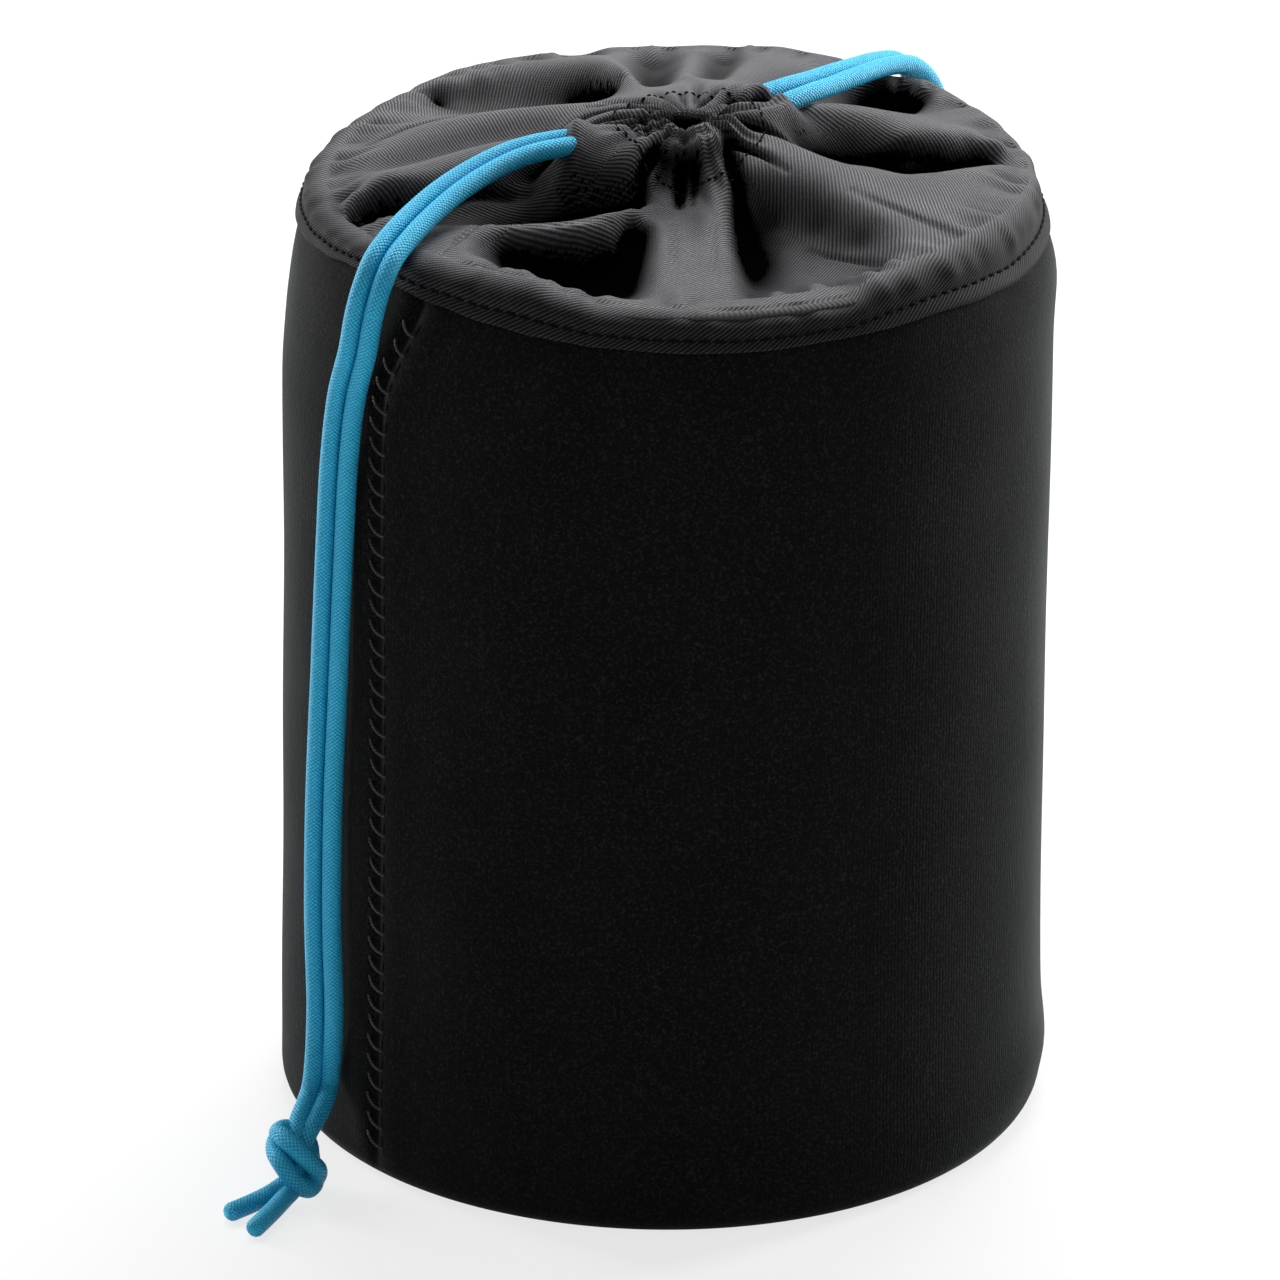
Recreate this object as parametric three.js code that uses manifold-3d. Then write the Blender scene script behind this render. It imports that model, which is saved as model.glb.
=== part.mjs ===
// Lens pouch: a padded round sleeve, a cushioned base, and a soft collar that two drawcords gather shut.
// Millimetres, +Z up. The origin is the middle of the base, on the surface that the pouch stands on.
// -Y faces the viewer and +X is to the viewer's right.
import * as THREE from "three";
import { mergeVertices } from "three/addons/utils/BufferGeometryUtils.js";
import Module from "manifold-3d";

const wasm = await Module();
wasm.setup();

const rad = THREE.MathUtils.degToRad;
const lerp = THREE.MathUtils.lerp;
const smooth = (t) => THREE.MathUtils.smoothstep(t, 0, 1);

// Gaps between pieces that touch on the real pouch.
const GAP = 0.3;

// Sleeve: one sheet of padded foam rubber, rolled up and joined edge to edge down the front left.
const SLEEVE_FOOT_R = 56.3;
const SLEEVE_R = 55.7;
const SLEEVE_TOP_R = 52.6;
const SLEEVE_TOP_Z = 139.5;
const SLEEVE_WALL = 4.4;
const DRAWN_IN_H = 18;
const FOOT_ROUND = 3.4;
const FOOT_INNER_ROUND = 0.8;
const FOOT_TURN_W = 6;
const SLEEVE_SEAM_DEG = -137;
const SEAM_DRIFT_DEG = 6;
const SLEEVE_SEAM_GAP = 0.4;
const FOOT_EASE_SHARE = 0.5;
// Heights of the rings up the wall, as shares of the way from the foot to the top edge.
const WALL_SHARES = [0.25, 0.5, 0.8, 0.87, 0.92, 0.96, 1];

// Base: a disc of the same sheet, sewn in flush, with a foam pad on it under a cloth lining.
const BASE_GROOVE_D = 0.9;
const BASE_GROOVE_HALF_W = 1.5;
const PAD_THICKNESS = 8;
const PAD_EDGE_ROUND = 1.2;
const LINING_THICKNESS = 0.6;
const LINING_SKIRT = 6.5;
const BINDING_THICKNESS = 0.7;
const BINDING_WIDTH = 5.5;

// Collar: two panels of thin cloth from the sleeve's top edge to the gathered mouth.
const COLLAR_CLOTH = 0.8;
const COLLAR_LAP = 4;
const LIP_INSET = 4.1;
const LIP_RISE = 7.4;
const EYE_RISE = 13.8;
const FOLD_DEPTH = 6.4;
const FACING_THICKNESS = 0.8;
const FACING_DROP = 14;
const FOLD_END_SHARE = 0.3;
const SHOULDER_SHARE = 0.16;
// Valleys between the folds: bearing and half width in degrees, depth as a share of the deepest fold,
// and how far each reaches, as shares of the way from the lip to the eye.
const VALLEYS = [
  { at: -112, half: 19, depthShare: 1.0, fromShare: 0.04, toShare: 0.9 },
  { at: -68, half: 19, depthShare: 0.85, fromShare: 0.04, toShare: 1.0 },
  { at: -8, half: 17, depthShare: 0.95, fromShare: -0.04, toShare: 0.8 },
  { at: 31, half: 15, depthShare: 0.5, fromShare: 0.0, toShare: 1.2 },
  { at: 64, half: 15, depthShare: 0.7, fromShare: 0.0, toShare: 0.9 },
  { at: 103, half: 17, depthShare: 0.7, fromShare: 0.05, toShare: 0.9 },
  { at: 139, half: 15, depthShare: 0.75, fromShare: 0.0, toShare: 0.9 },
  { at: 171, half: 14, depthShare: 0.85, fromShare: -0.04, toShare: 0.75 },
  { at: 205, half: 15, depthShare: 0.9, fromShare: 0.1, toShare: 1.1 },
];

// Mouth: the hem that holds the drawcords, gathered into a pleated ring.
const MOUTH_X = 2.5;
const MOUTH_Y = -3;
const HEM_MID_RISE = 14.2;
const HEM_WALL = 1.1;
const HEM_OPEN_DEG = 25;
const PLEAT_DEPTH = 0.7;
const PLEATS_PER_HEM = 10;
const LEFT_EXIT_DEG = -155;
const RIGHT_EXIT_DEG = 46;
const TUNNEL_CORNER_SHARE = 0.72;

// Drawcords: two round braided cords, each with both ends out at one side and knotted together.
const CORD_D = 2.8;
const LOOP_INNER_R = 8.1;
const LOOP_BEND_R = 3.2;
const LOOP_END_R = 16.3;
const HINGE_DROP = 0.5;
const RIGHT_EXIT_SIDE = 2.6;
const KNOT_LEAD = 8.5;
const KNOT_HALF_L = 3;
const KNOT_HALF_W = 1.6;
const KNOT_HALF_H = 2;
const KNOT_PRESS_SHARE = 0.75;
const TAIL_L = 9.5;
const TAIL_SPLAY_DEG = 7;
const LEFT_TAIL_DEG = -120;
const RIGHT_TAIL_DEG = 108;

// Sewing thread.
const THREAD_D = 0.55;
const SIDE_STITCH_PITCH = 3.1;
const SIDE_STITCH_W = 3.6;
const RIM_STITCH_RISE = 2.4;
const RIM_STITCHES = 74;
const BASE_STITCHES = 60;
const BASE_STITCH_W = 1.2;
const STITCH_BULGE = 0.25;

// Faces round the pieces.
const ROUND_STEPS = 48;
const COLLAR_STEPS = 36;
const CORD_SIDES = 8;
const LOOP_SIDES = 6;
const THREAD_SIDES = 3;
const STEP_DIAMETERS = 2;
const SPREAD_POINTS = 5;
const PLEAT_STEPS = 3;
const FOOT_STEPS = 4;
const SHOULDER_STEPS = 4;
const ROOF_STEPS = 8;
const LOOP_STEPS = 26;
const BEND_STEPS = 4;
const KNOT_STEPS = 32;
const KNOT_STRETCHES = 3;
const KNOT_STEP_DIAMETERS = 1.3;
const KNOT_FLATTEN = 0.06;
const LINE_SAMPLES = 600;

// Sizes that follow from those above.
const RIM_Z = SLEEVE_TOP_Z - COLLAR_LAP;
const PANEL_R = SLEEVE_FOOT_R - FOOT_TURN_W - GAP;
const PANEL_TOP_Z = SLEEVE_WALL;
const PAD_TOP_Z = PANEL_TOP_Z + GAP + PAD_THICKNESS;
const LINING_TOP_Z = PAD_TOP_Z + GAP + LINING_THICKNESS;
const BINDING_LOW_Z = SLEEVE_WALL + FOOT_INNER_ROUND + GAP;
const LINING_WALL_R = Math.min(...[BINDING_LOW_Z, LINING_TOP_Z].map((z) => wallRadius("inner", z)));
const LINING_R = LINING_WALL_R - BINDING_THICKNESS - 2 * GAP;
const PAD_R = LINING_R - LINING_THICKNESS - GAP;
const BAND_R = wallRadius("outer", RIM_Z) + GAP + COLLAR_CLOTH;
const SHOULDER_R = Math.max(BAND_R, SLEEVE_TOP_R + GAP + COLLAR_CLOTH);
const LIP_R = SLEEVE_TOP_R - LIP_INSET;
const COLLAR_SEAM_DEG = SLEEVE_SEAM_DEG + SEAM_DRIFT_DEG;
const LOOP_OUTER_R = LOOP_INNER_R + CORD_D + GAP;
const LOOP_TILT = (CORD_D + GAP) / 2;
const TUNNEL_INNER_R = LOOP_INNER_R - CORD_D / 2 - GAP;
const TUNNEL_OUTER_R = LOOP_OUTER_R + CORD_D / 2 + GAP;
const TUNNEL_HALF_H = LOOP_TILT + CORD_D / 2 + GAP;
const EYE_R = TUNNEL_OUTER_R + HEM_WALL + PLEAT_DEPTH + GAP;
const STRAND_SIDE = (CORD_D + GAP) / 2;

// A point at a radius and a bearing round the pouch's axis, or round another centre.
function polar(r, angle, z, cx = 0, cy = 0) {
  return new THREE.Vector3(cx + r * Math.cos(angle), cy + r * Math.sin(angle), z);
}

// A closed solid from points and triangles.
function geometryOf(points, faces) {
  const made = new THREE.BufferGeometry();
  const flat = points.flatMap((p) => [p.x, p.y, p.z]);
  made.setAttribute("position", new THREE.Float32BufferAttribute(flat, 3));
  made.setIndex(faces);
  made.computeVertexNormals();
  return made;
}

// A sheet with two faces: face(j, i) and back(j, i) give matching points, j round the pouch and i across.
function sheetSolid(nj, ni, face, back) {
  const points = [];
  const faces = [];
  for (const side of [face, back])
    for (let j = 0; j < nj; j++) for (let i = 0; i < ni; i++) points.push(side(j, i));
  const at = (side, j, i) => side * nj * ni + j * ni + i;
  const quad = (a, b, c, d) => faces.push(a, b, c, a, c, d);
  for (let j = 0; j < nj - 1; j++) {
    for (let i = 0; i < ni - 1; i++) {
      quad(at(0, j, i), at(0, j + 1, i), at(0, j + 1, i + 1), at(0, j, i + 1));
      quad(at(1, j, i), at(1, j, i + 1), at(1, j + 1, i + 1), at(1, j + 1, i));
    }
    quad(at(0, j, 0), at(1, j, 0), at(1, j + 1, 0), at(0, j + 1, 0));
    quad(at(0, j, ni - 1), at(0, j + 1, ni - 1), at(1, j + 1, ni - 1), at(1, j, ni - 1));
  }
  for (let i = 0; i < ni - 1; i++) {
    quad(at(0, 0, i), at(0, 0, i + 1), at(1, 0, i + 1), at(1, 0, i));
    quad(at(0, nj - 1, i), at(1, nj - 1, i), at(1, nj - 1, i + 1), at(0, nj - 1, i + 1));
  }
  return geometryOf(points, faces);
}

// A bent bar with a tunnel through it: outer(j, i) and inner(j, i) give two closed loops at each step j.
function tunnelSolid(nj, ni, outer, inner) {
  const points = [];
  const faces = [];
  for (const side of [outer, inner])
    for (let j = 0; j < nj; j++) for (let i = 0; i < ni; i++) points.push(side(j, i));
  const at = (side, j, i) => side * nj * ni + j * ni + (i % ni);
  const quad = (a, b, c, d) => faces.push(a, b, c, a, c, d);
  for (let i = 0; i < ni; i++) {
    for (let j = 0; j < nj - 1; j++) {
      quad(at(0, j, i), at(0, j + 1, i), at(0, j + 1, i + 1), at(0, j, i + 1));
      quad(at(1, j, i), at(1, j, i + 1), at(1, j + 1, i + 1), at(1, j + 1, i));
    }
    quad(at(0, 0, i), at(0, 0, i + 1), at(1, 0, i + 1), at(1, 0, i));
    quad(at(0, nj - 1, i), at(1, nj - 1, i), at(1, nj - 1, i + 1), at(0, nj - 1, i + 1));
  }
  return geometryOf(points, faces);
}

// A turned piece, from its outline as [radius, height] pairs.
function spun(outline) {
  const points = outline.map(([r, z]) => new THREE.Vector2(r, z));
  return new THREE.LatheGeometry(points, ROUND_STEPS).rotateX(rad(90));
}

// A run of straight stretches, with one ring of the tube at each of its points.
class PointRun extends THREE.Curve {
  constructor(points) {
    super();
    this.points = points;
  }
  getPointAt(u) {
    const last = this.points.length - 1;
    const at = Math.min(Math.floor(u * last), last - 1);
    return this.points[at].clone().lerp(this.points[at + 1], u * last - at);
  }
  getTangentAt(u) {
    const last = this.points.length - 1;
    const at = Math.round(u * last);
    const from = this.points[Math.max(at - 1, 0)];
    return this.points[Math.min(at + 1, last)].clone().sub(from).normalize();
  }
}

function roundSection(diameter, sides) {
  const corners = Array.from({ length: sides }, (_, k) => {
    const a = (2 * Math.PI * (k + 1 / 2)) / sides;
    return new THREE.Vector2(Math.cos(a), Math.sin(a)).multiplyScalar(diameter / 2);
  });
  return new THREE.Shape(corners);
}

function tube(path, steps, diameter, sides) {
  const section = roundSection(diameter, sides);
  return new THREE.ExtrudeGeometry(section, { steps, bevelEnabled: false, extrudePath: path });
}

function threadAlong(points) {
  return tube(new PointRun(points), points.length - 1, THREAD_D, THREAD_SIDES);
}

function solidOf(geometry) {
  const bare = geometry.clone().deleteAttribute("normal").deleteAttribute("uv");
  const merged = mergeVertices(bare);
  const mesh = { numProp: 3, vertProperties: merged.attributes.position.array };
  mesh.triVerts = new Uint32Array(merged.index.array);
  return new wasm.Manifold(new wasm.Mesh(mesh));
}

function geometryFrom(solid) {
  const mesh = solid.getMesh();
  const made = new THREE.BufferGeometry();
  made.setAttribute("position", new THREE.BufferAttribute(mesh.vertProperties, mesh.numProp));
  made.setIndex(new THREE.BufferAttribute(mesh.triVerts, 1));
  made.computeVertexNormals();
  return made;
}

// Materials, one for each kind of stuff.
const finish = (color, roughness) => new THREE.MeshStandardMaterial({ color, roughness, metalness: 0 });
const foamRubber = finish(0x141414, 0.9);
const collarCloth = finish(0x2e2e30, 0.65);
const paddingFoam = finish(0x2a2a2a, 0.95);
const liningCloth = finish(0x1c1c1d, 0.85);
const tape = finish(0x181818, 0.8);
const thread = finish(0x101010, 0.6);
const cordBraid = finish(0x1597cf, 0.5);

const part = new THREE.Group();

function add(name, geometry, material) {
  const mesh = new THREE.Mesh(geometry, material);
  mesh.name = name;
  part.add(mesh);
  return mesh;
}

// Sleeve

// Outer radius of the sleeve at a height: straight from the foot up, then drawn in to the collar.
function sleeveRadius(z) {
  const climb = THREE.MathUtils.clamp((z - FOOT_ROUND) / (SLEEVE_TOP_Z - FOOT_ROUND), 0, 1);
  const drawn = drawnShare(z) ** 2;
  const belowR = lerp(SLEEVE_FOOT_R, SLEEVE_R, smooth(climb / FOOT_EASE_SHARE));
  return belowR - (SLEEVE_R - SLEEVE_TOP_R) * drawn;
}

// How far a height lies up the drawn-in stretch under the sleeve's top edge.
function drawnShare(z) {
  return THREE.MathUtils.clamp(1 - (SLEEVE_TOP_Z - z) / DRAWN_IN_H, 0, 1);
}

// Bearing of the sleeve's seam, which leans over where the sleeve is drawn in.
function seamBearing(z) {
  return rad(SLEEVE_SEAM_DEG + SEAM_DRIFT_DEG * smooth(drawnShare(z)));
}

// The sleeve's section, from its edge under the foot to its top edge: outer and inner [r, z] pairs.
function sleeveSection() {
  const edgeR = SLEEVE_FOOT_R - FOOT_TURN_W;
  const outer = [[edgeR, BASE_GROOVE_D], [edgeR + BASE_GROOVE_HALF_W - BASE_GROOVE_D / 2, BASE_GROOVE_D]];
  const inner = [[edgeR, SLEEVE_WALL], [edgeR + GAP, SLEEVE_WALL]];
  outer.push([edgeR + BASE_GROOVE_HALF_W, 0]);
  inner.push([edgeR + 2 * GAP, SLEEVE_WALL]);
  for (let k = 0; k <= FOOT_STEPS; k++) {
    const a = rad((90 * k) / FOOT_STEPS);
    const middles = [SLEEVE_FOOT_R - FOOT_ROUND, SLEEVE_FOOT_R - SLEEVE_WALL - FOOT_INNER_ROUND];
    outer.push([middles[0] + FOOT_ROUND * Math.sin(a), FOOT_ROUND * (1 - Math.cos(a))]);
    const innerZ = SLEEVE_WALL + FOOT_INNER_ROUND * (1 - Math.cos(a));
    inner.push([middles[1] + FOOT_INNER_ROUND * Math.sin(a), innerZ]);
  }
  for (const share of WALL_SHARES) {
    const z = lerp(FOOT_ROUND, SLEEVE_TOP_Z, share);
    const innerZ = lerp(SLEEVE_WALL + FOOT_INNER_ROUND, SLEEVE_TOP_Z, share);
    outer.push([sleeveRadius(z), z]);
    inner.push([sleeveRadius(innerZ) - SLEEVE_WALL, innerZ]);
  }
  return { outer, inner };
}

// Radius of the wall's outer or inner face at a height, on the straight stretches between its rings.
function wallRadius(face, z) {
  const rings = sleeveSection()[face].slice(-WALL_SHARES.length - 1);
  const above = Math.max(rings.findIndex(([, ringZ]) => ringZ >= z), 1);
  const [[fromR, fromZ], [toR, toZ]] = rings.slice(above - 1, above + 1);
  return lerp(fromR, toR, (z - fromZ) / (toZ - fromZ));
}

function sleeve() {
  const { outer, inner } = sleeveSection();
  const half = SLEEVE_SEAM_GAP / 2 / SLEEVE_R;
  const angle = (j, z) => seamBearing(z) + lerp(half, 2 * Math.PI - half, j / ROUND_STEPS);
  const face = (list) => (j, i) => polar(list[i][0], angle(j, list[i][1]), list[i][1]);
  return sheetSolid(ROUND_STEPS + 1, outer.length, face(outer), face(inner));
}

// The flat seam's cover stitch, a zigzag that bridges the sleeve's two edges.
function sideSeamThread() {
  const from = FOOT_ROUND + SIDE_STITCH_PITCH;
  const to = RIM_Z - SIDE_STITCH_PITCH;
  const stitches = Math.floor((to - from) / SIDE_STITCH_PITCH);
  const points = [];
  for (let k = 0; k <= 2 * stitches; k++) {
    const z = from + (k * SIDE_STITCH_PITCH) / 2;
    const r = wallRadius("outer", z) + GAP + THREAD_D / 2;
    const side = ((k % 2 ? 1 : -1) * SIDE_STITCH_W) / 2 / r;
    points.push(polar(r, seamBearing(z) + side, z));
  }
  return threadAlong(points);
}

// Base

// The base disc. A groove round its edge keeps the seam's stitches off the floor.
function basePanel() {
  const footR = PANEL_R - BASE_GROOVE_HALF_W;
  return spun([
    [0, 0],
    [footR, 0],
    [footR + BASE_GROOVE_D / 2, BASE_GROOVE_D],
    [PANEL_R, BASE_GROOVE_D],
    [PANEL_R, PANEL_TOP_Z],
    [0, PANEL_TOP_Z],
  ]);
}

function basePad() {
  const low = PANEL_TOP_Z + GAP;
  return spun([
    [0, low],
    [PAD_R, low],
    [PAD_R, PAD_TOP_Z - PAD_EDGE_ROUND],
    [PAD_R - PAD_EDGE_ROUND, PAD_TOP_Z],
    [0, PAD_TOP_Z],
  ]);
}

// The lining lies over the pad and turns down round its edge.
function baseLining() {
  const low = PAD_TOP_Z + GAP;
  const top = LINING_TOP_Z;
  const turn = PAD_EDGE_ROUND + GAP;
  return spun([
    [0, low],
    [LINING_R - LINING_THICKNESS - turn, low],
    [LINING_R - LINING_THICKNESS, low - turn],
    [LINING_R - LINING_THICKNESS, top - LINING_SKIRT],
    [LINING_R, top - LINING_SKIRT],
    [LINING_R, low - turn],
    [LINING_R - turn, top],
    [0, top],
  ]);
}

// The tape that binds the base seam on the inside.
function baseBinding() {
  const low = BINDING_LOW_Z;
  const [lowR, highR] = [low, low + BINDING_WIDTH].map((z) => wallRadius("inner", z) - GAP);
  return spun([
    [lowR - BINDING_THICKNESS, low],
    [lowR, low],
    [highR, low + BINDING_WIDTH],
    [highR - BINDING_THICKNESS, low + BINDING_WIDTH],
    [lowR - BINDING_THICKNESS, low],
  ]);
}

// The overlock stitch that joins the sleeve's lower edge to the base disc, in the groove between them.
function baseSeamThread() {
  const z = BASE_GROOVE_D - GAP - THREAD_D / 2;
  const middle = SLEEVE_FOOT_R - FOOT_TURN_W - GAP / 2;
  const points = [];
  for (let k = 0; k < 2 * BASE_STITCHES; k++) {
    const r = middle + ((k % 2 ? 1 : -1) * BASE_STITCH_W) / 2;
    points.push(polar(r, rad(SLEEVE_SEAM_DEG) + (Math.PI * k) / BASE_STITCHES, z));
  }
  return threadAlong(points);
}

// Collar

// The angle between two bearings, from 0 to half a turn.
function apart(a, b) {
  return Math.abs(THREE.MathUtils.euclideanModulo(a - b + Math.PI, 2 * Math.PI) - Math.PI);
}

// How deep the folds cut below the crests at a bearing, with share 0 at the lip and 1 at the eye.
function foldDepth(angle, share) {
  const depths = VALLEYS.map((v) => {
    const across = smooth(1 - apart(angle, rad(v.at)) / rad(v.half));
    const entry = smooth((share - v.fromShare) / FOLD_END_SHARE);
    const end = smooth((v.toShare - share) / FOLD_END_SHARE);
    return v.depthShare * across * entry * end;
  });
  return FOLD_DEPTH * Math.max(...depths);
}

// Stations across the collar, from its lower edge over the shoulder to the eye: outer [r, rise], the way
// that the cloth faces, and the share of the roof that lies outside.
function collarStations() {
  const list = [
    { r: BAND_R, rise: 0, nr: 1, nz: 0, share: -1 },
    { r: SHOULDER_R, rise: COLLAR_LAP, nr: 1, nz: 0, share: -1 },
  ];
  for (let k = 1; k <= SHOULDER_STEPS; k++) {
    const a = rad((90 * k) / SHOULDER_STEPS);
    const r = LIP_R + (SHOULDER_R - LIP_R) * Math.cos(a);
    const rise = COLLAR_LAP + (LIP_RISE - COLLAR_LAP) * Math.sin(a);
    const share = SHOULDER_SHARE * (k / SHOULDER_STEPS - 1);
    list.push({ r, rise, nr: Math.cos(a), nz: Math.sin(a), share });
  }
  for (let k = 1; k <= ROOF_STEPS; k++) {
    const share = k / ROOF_STEPS;
    const rise = lerp(LIP_RISE, EYE_RISE, Math.sin((Math.PI / 2) * share));
    list.push({ r: lerp(LIP_R, EYE_R, share), rise, nr: 0, nz: 1, share });
  }
  return list;
}

// One panel of the collar between two bearings.
function collarPanel(fromDeg, toDeg) {
  const stations = collarStations();
  const edge = GAP / 2 / BAND_R;
  const angle = (j) => lerp(rad(fromDeg) + edge, rad(toDeg) - edge, j / COLLAR_STEPS);
  const place = (inset) => (j, i) => {
    const s = stations[i];
    const shift = Math.max(s.share, 0);
    const drop = foldDepth(angle(j), s.share);
    const r = s.r - inset * s.nr;
    const z = RIM_Z + s.rise - drop - inset * s.nz;
    return polar(r, angle(j), z, MOUTH_X * shift, MOUTH_Y * shift);
  };
  return sheetSolid(COLLAR_STEPS + 1, stations.length, place(0), place(COLLAR_CLOTH));
}

// The tape that faces the sleeve's raw top edge, under the collar and down its inside.
function rimFacing() {
  const low = SLEEVE_TOP_Z + GAP;
  const hem = SLEEVE_TOP_Z - FACING_DROP;
  const rings = sleeveSection().inner.slice(-WALL_SHARES.length).map(([, z]) => z);
  const down = [hem, ...rings.filter((z) => z > hem)].map((z) => [wallRadius("inner", z) - GAP, z]);
  const innerR = down.at(-1)[0];
  const inside = down.map(([r, z]) => [r - FACING_THICKNESS, z]);
  return spun([
    ...down,
    [innerR, low],
    [SLEEVE_TOP_R - FACING_THICKNESS, low],
    [SLEEVE_TOP_R - FACING_THICKNESS, low + FACING_THICKNESS],
    [innerR - FACING_THICKNESS, low + FACING_THICKNESS],
    ...inside.reverse(),
    down[0],
  ]);
}

// The row of stitches that holds the collar to the sleeve.
function rimStitchThread() {
  const points = [];
  for (let k = 0; k < 2 * RIM_STITCHES; k++) {
    const r = BAND_R + GAP + THREAD_D / 2 + (k % 2 ? STITCH_BULGE : 0);
    points.push(polar(r, seamBearing(RIM_Z) + (Math.PI * k) / RIM_STITCHES, RIM_Z + RIM_STITCH_RISE));
  }
  return threadAlong(points);
}

// Mouth

// Corners of the hem's section, anticlockwise, as shares of its half width and half height.
const TUNNEL_SHARES = [0, 1, 2, 3].flatMap((quarter) => {
  const turn = ([across, up]) => {
    const a = (quarter * Math.PI) / 2;
    return [across * Math.cos(a) - up * Math.sin(a), across * Math.sin(a) + up * Math.cos(a)];
  };
  return [turn([1, TUNNEL_CORNER_SHARE]), turn([TUNNEL_CORNER_SHARE, 1])];
});

// How far the pleats push the hem's cloth out at a bearing from one end of the hem.
const pleat = (share) => PLEAT_DEPTH * Math.sin(Math.PI * PLEATS_PER_HEM * share) ** 2;

// Half of the gathered hem, with a tunnel for the two drawcords. Both its ends open at a cord exit.
function hemHalf(fromDeg, toDeg) {
  const steps = PLEAT_STEPS * PLEATS_PER_HEM;
  const angle = (j) => lerp(rad(fromDeg + HEM_OPEN_DEG), rad(toDeg - HEM_OPEN_DEG), j / steps);
  const middleR = (TUNNEL_INNER_R + TUNNEL_OUTER_R) / 2;
  const halfW = (TUNNEL_OUTER_R - TUNNEL_INNER_R) / 2;
  const ring = (wall) => (j, i) => {
    const [across, up] = TUNNEL_SHARES[i % TUNNEL_SHARES.length];
    const swell = wall && pleat(j / steps);
    const r = middleR + (halfW + wall + swell) * across;
    const rise = HEM_MID_RISE + (TUNNEL_HALF_H + wall + swell) * up;
    return polar(r, angle(j), RIM_Z + rise, MOUTH_X, MOUTH_Y);
  };
  return tunnelSolid(steps + 1, TUNNEL_SHARES.length, ring(HEM_WALL), ring(0));
}

// Drawcords

// One cord inside the hem: round the mouth, then out side by side at the exit. It rises towards the exit
// and sinks on the far side, so that the two cords pass each other.
function cordLoop(exitDeg, loopR, exitSide) {
  const out = rad(exitDeg);
  const bendT = exitSide + LOOP_BEND_R;
  const bendRadial = Math.sqrt((loopR + LOOP_BEND_R) ** 2 - bendT ** 2);
  const joinAngle = Math.atan2(bendT, bendRadial);
  // Half of the loop, as radius and sideways distance from the exit's line.
  const half = [[LOOP_END_R, exitSide]];
  for (let k = 0; k <= BEND_STEPS; k++) {
    const a = (Math.PI / 2 - joinAngle) * (k / BEND_STEPS);
    half.push([bendRadial - LOOP_BEND_R * Math.sin(a), bendT - LOOP_BEND_R * Math.cos(a)]);
  }
  const levels = (radial) => LOOP_TILT * THREE.MathUtils.clamp(radial / loopR, -1, 1);
  for (let k = 1; k <= LOOP_STEPS / 2; k++) {
    const a = lerp(joinAngle, Math.PI, k / (LOOP_STEPS / 2));
    half.push([loopR * Math.cos(a), loopR * Math.sin(a)]);
  }
  const place = ([radial, side], sign) =>
    new THREE.Vector3(
      MOUTH_X + radial * Math.cos(out) - sign * side * Math.sin(out),
      MOUTH_Y + radial * Math.sin(out) + sign * side * Math.cos(out),
      RIM_Z + HEM_MID_RISE + levels(radial),
    );
  const there = half.map((p) => place(p, 1));
  const back = half.slice(0, -1).reverse().map((p) => place(p, -1));
  return tube(new PointRun([...there, ...back]), there.length + back.length - 1, CORD_D, LOOP_SIDES);
}

// The way of the left pair of strands, from the exit over the collar, down the sleeve and along the floor.
const LEFT_ROUTE = [
  [-12.5, -10.0, 15.7],
  [-17.5, -12.3, 15.6],
  [-22.3, -14.7, 15.0],
  [-26.8, -17.9, 13.8],
  [-31.0, -22.3, 12.5],
  [-34.7, -27.8, 11.1],
  [-37.6, -33.3, 9.8],
  [-40.1, -38.0, 7.8],
  [-41.6, -40.0, 4.4],
  [-42.7, -40.3, 0.1],
  [-43.8, -39.1, -5.5],
  [-45.4, -36.8, -13],
  [-47.2, -34.4, -23],
  [-48.7, -32.1, -38],
  [-49.5, -30.9, -57],
  [-49.9, -30.4, -79],
  [-50.1, -30.4, -97],
  [-50.0, -30.8, -112],
  [-49.9, -32.4, -122.6],
  [-50.6, -36.8, -128.9],
  [-51.8, -41.8, -130.3],
];

// The way of the right pair, over the back of the collar and down behind the sleeve.
const RIGHT_ROUTE = [
  [14.0, 8.9, 15.7],
  [17.9, 13.3, 15.5],
  [21.7, 18.3, 14.6],
  [25.4, 23.6, 13.3],
  [29.0, 28.7, 12.1],
  [32.5, 33.3, 11.0],
  [36.0, 37.3, 9.7],
  [38.8, 40.1, 6.8],
  [40.4, 41.7, 2.8],
  [41.0, 42.3, -1.5],
  [41.0, 42.2, -7],
  [40.4, 41.7, -17],
  [39.9, 42.1, -34],
  [39.4, 42.6, -56],
  [38.9, 43.2, -79],
  [38.6, 43.8, -97],
  [38.4, 44.8, -112],
  [38.2, 46.8, -122.6],
  [38.4, 51.2, -128.9],
  [39.1, 56.3, -130.3],
];

// The bearing in which a pair travels at each point of its way. Where it runs down, the bearing turns
// evenly from that before to that after.
function travelBearings(route) {
  const last = route.length - 1;
  const known = [];
  for (let k = 0; k <= last; k++) {
    const [from, to] = [route[Math.max(k - 1, 0)], route[Math.min(k + 1, last)]];
    const [dx, dy, dz] = [0, 1, 2].map((n) => to[n] - from[n]);
    if (Math.hypot(dx, dy) > Math.abs(dz)) known.push([k, Math.atan2(dy, dx)]);
  }
  return route.map((_, k) => {
    const after = known.find(([at]) => at >= k) ?? known.at(-1);
    const before = known.findLast(([at]) => at <= k) ?? known[0];
    const share = after[0] > before[0] ? (k - before[0]) / (after[0] - before[0]) : 0;
    return lerp(before[1], after[1], share);
  });
}

function smoothLine(points) {
  const line = new THREE.CatmullRomCurve3(points, false, "centripetal");
  line.arcLengthDivisions = LINE_SAMPLES;
  return line;
}

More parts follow.
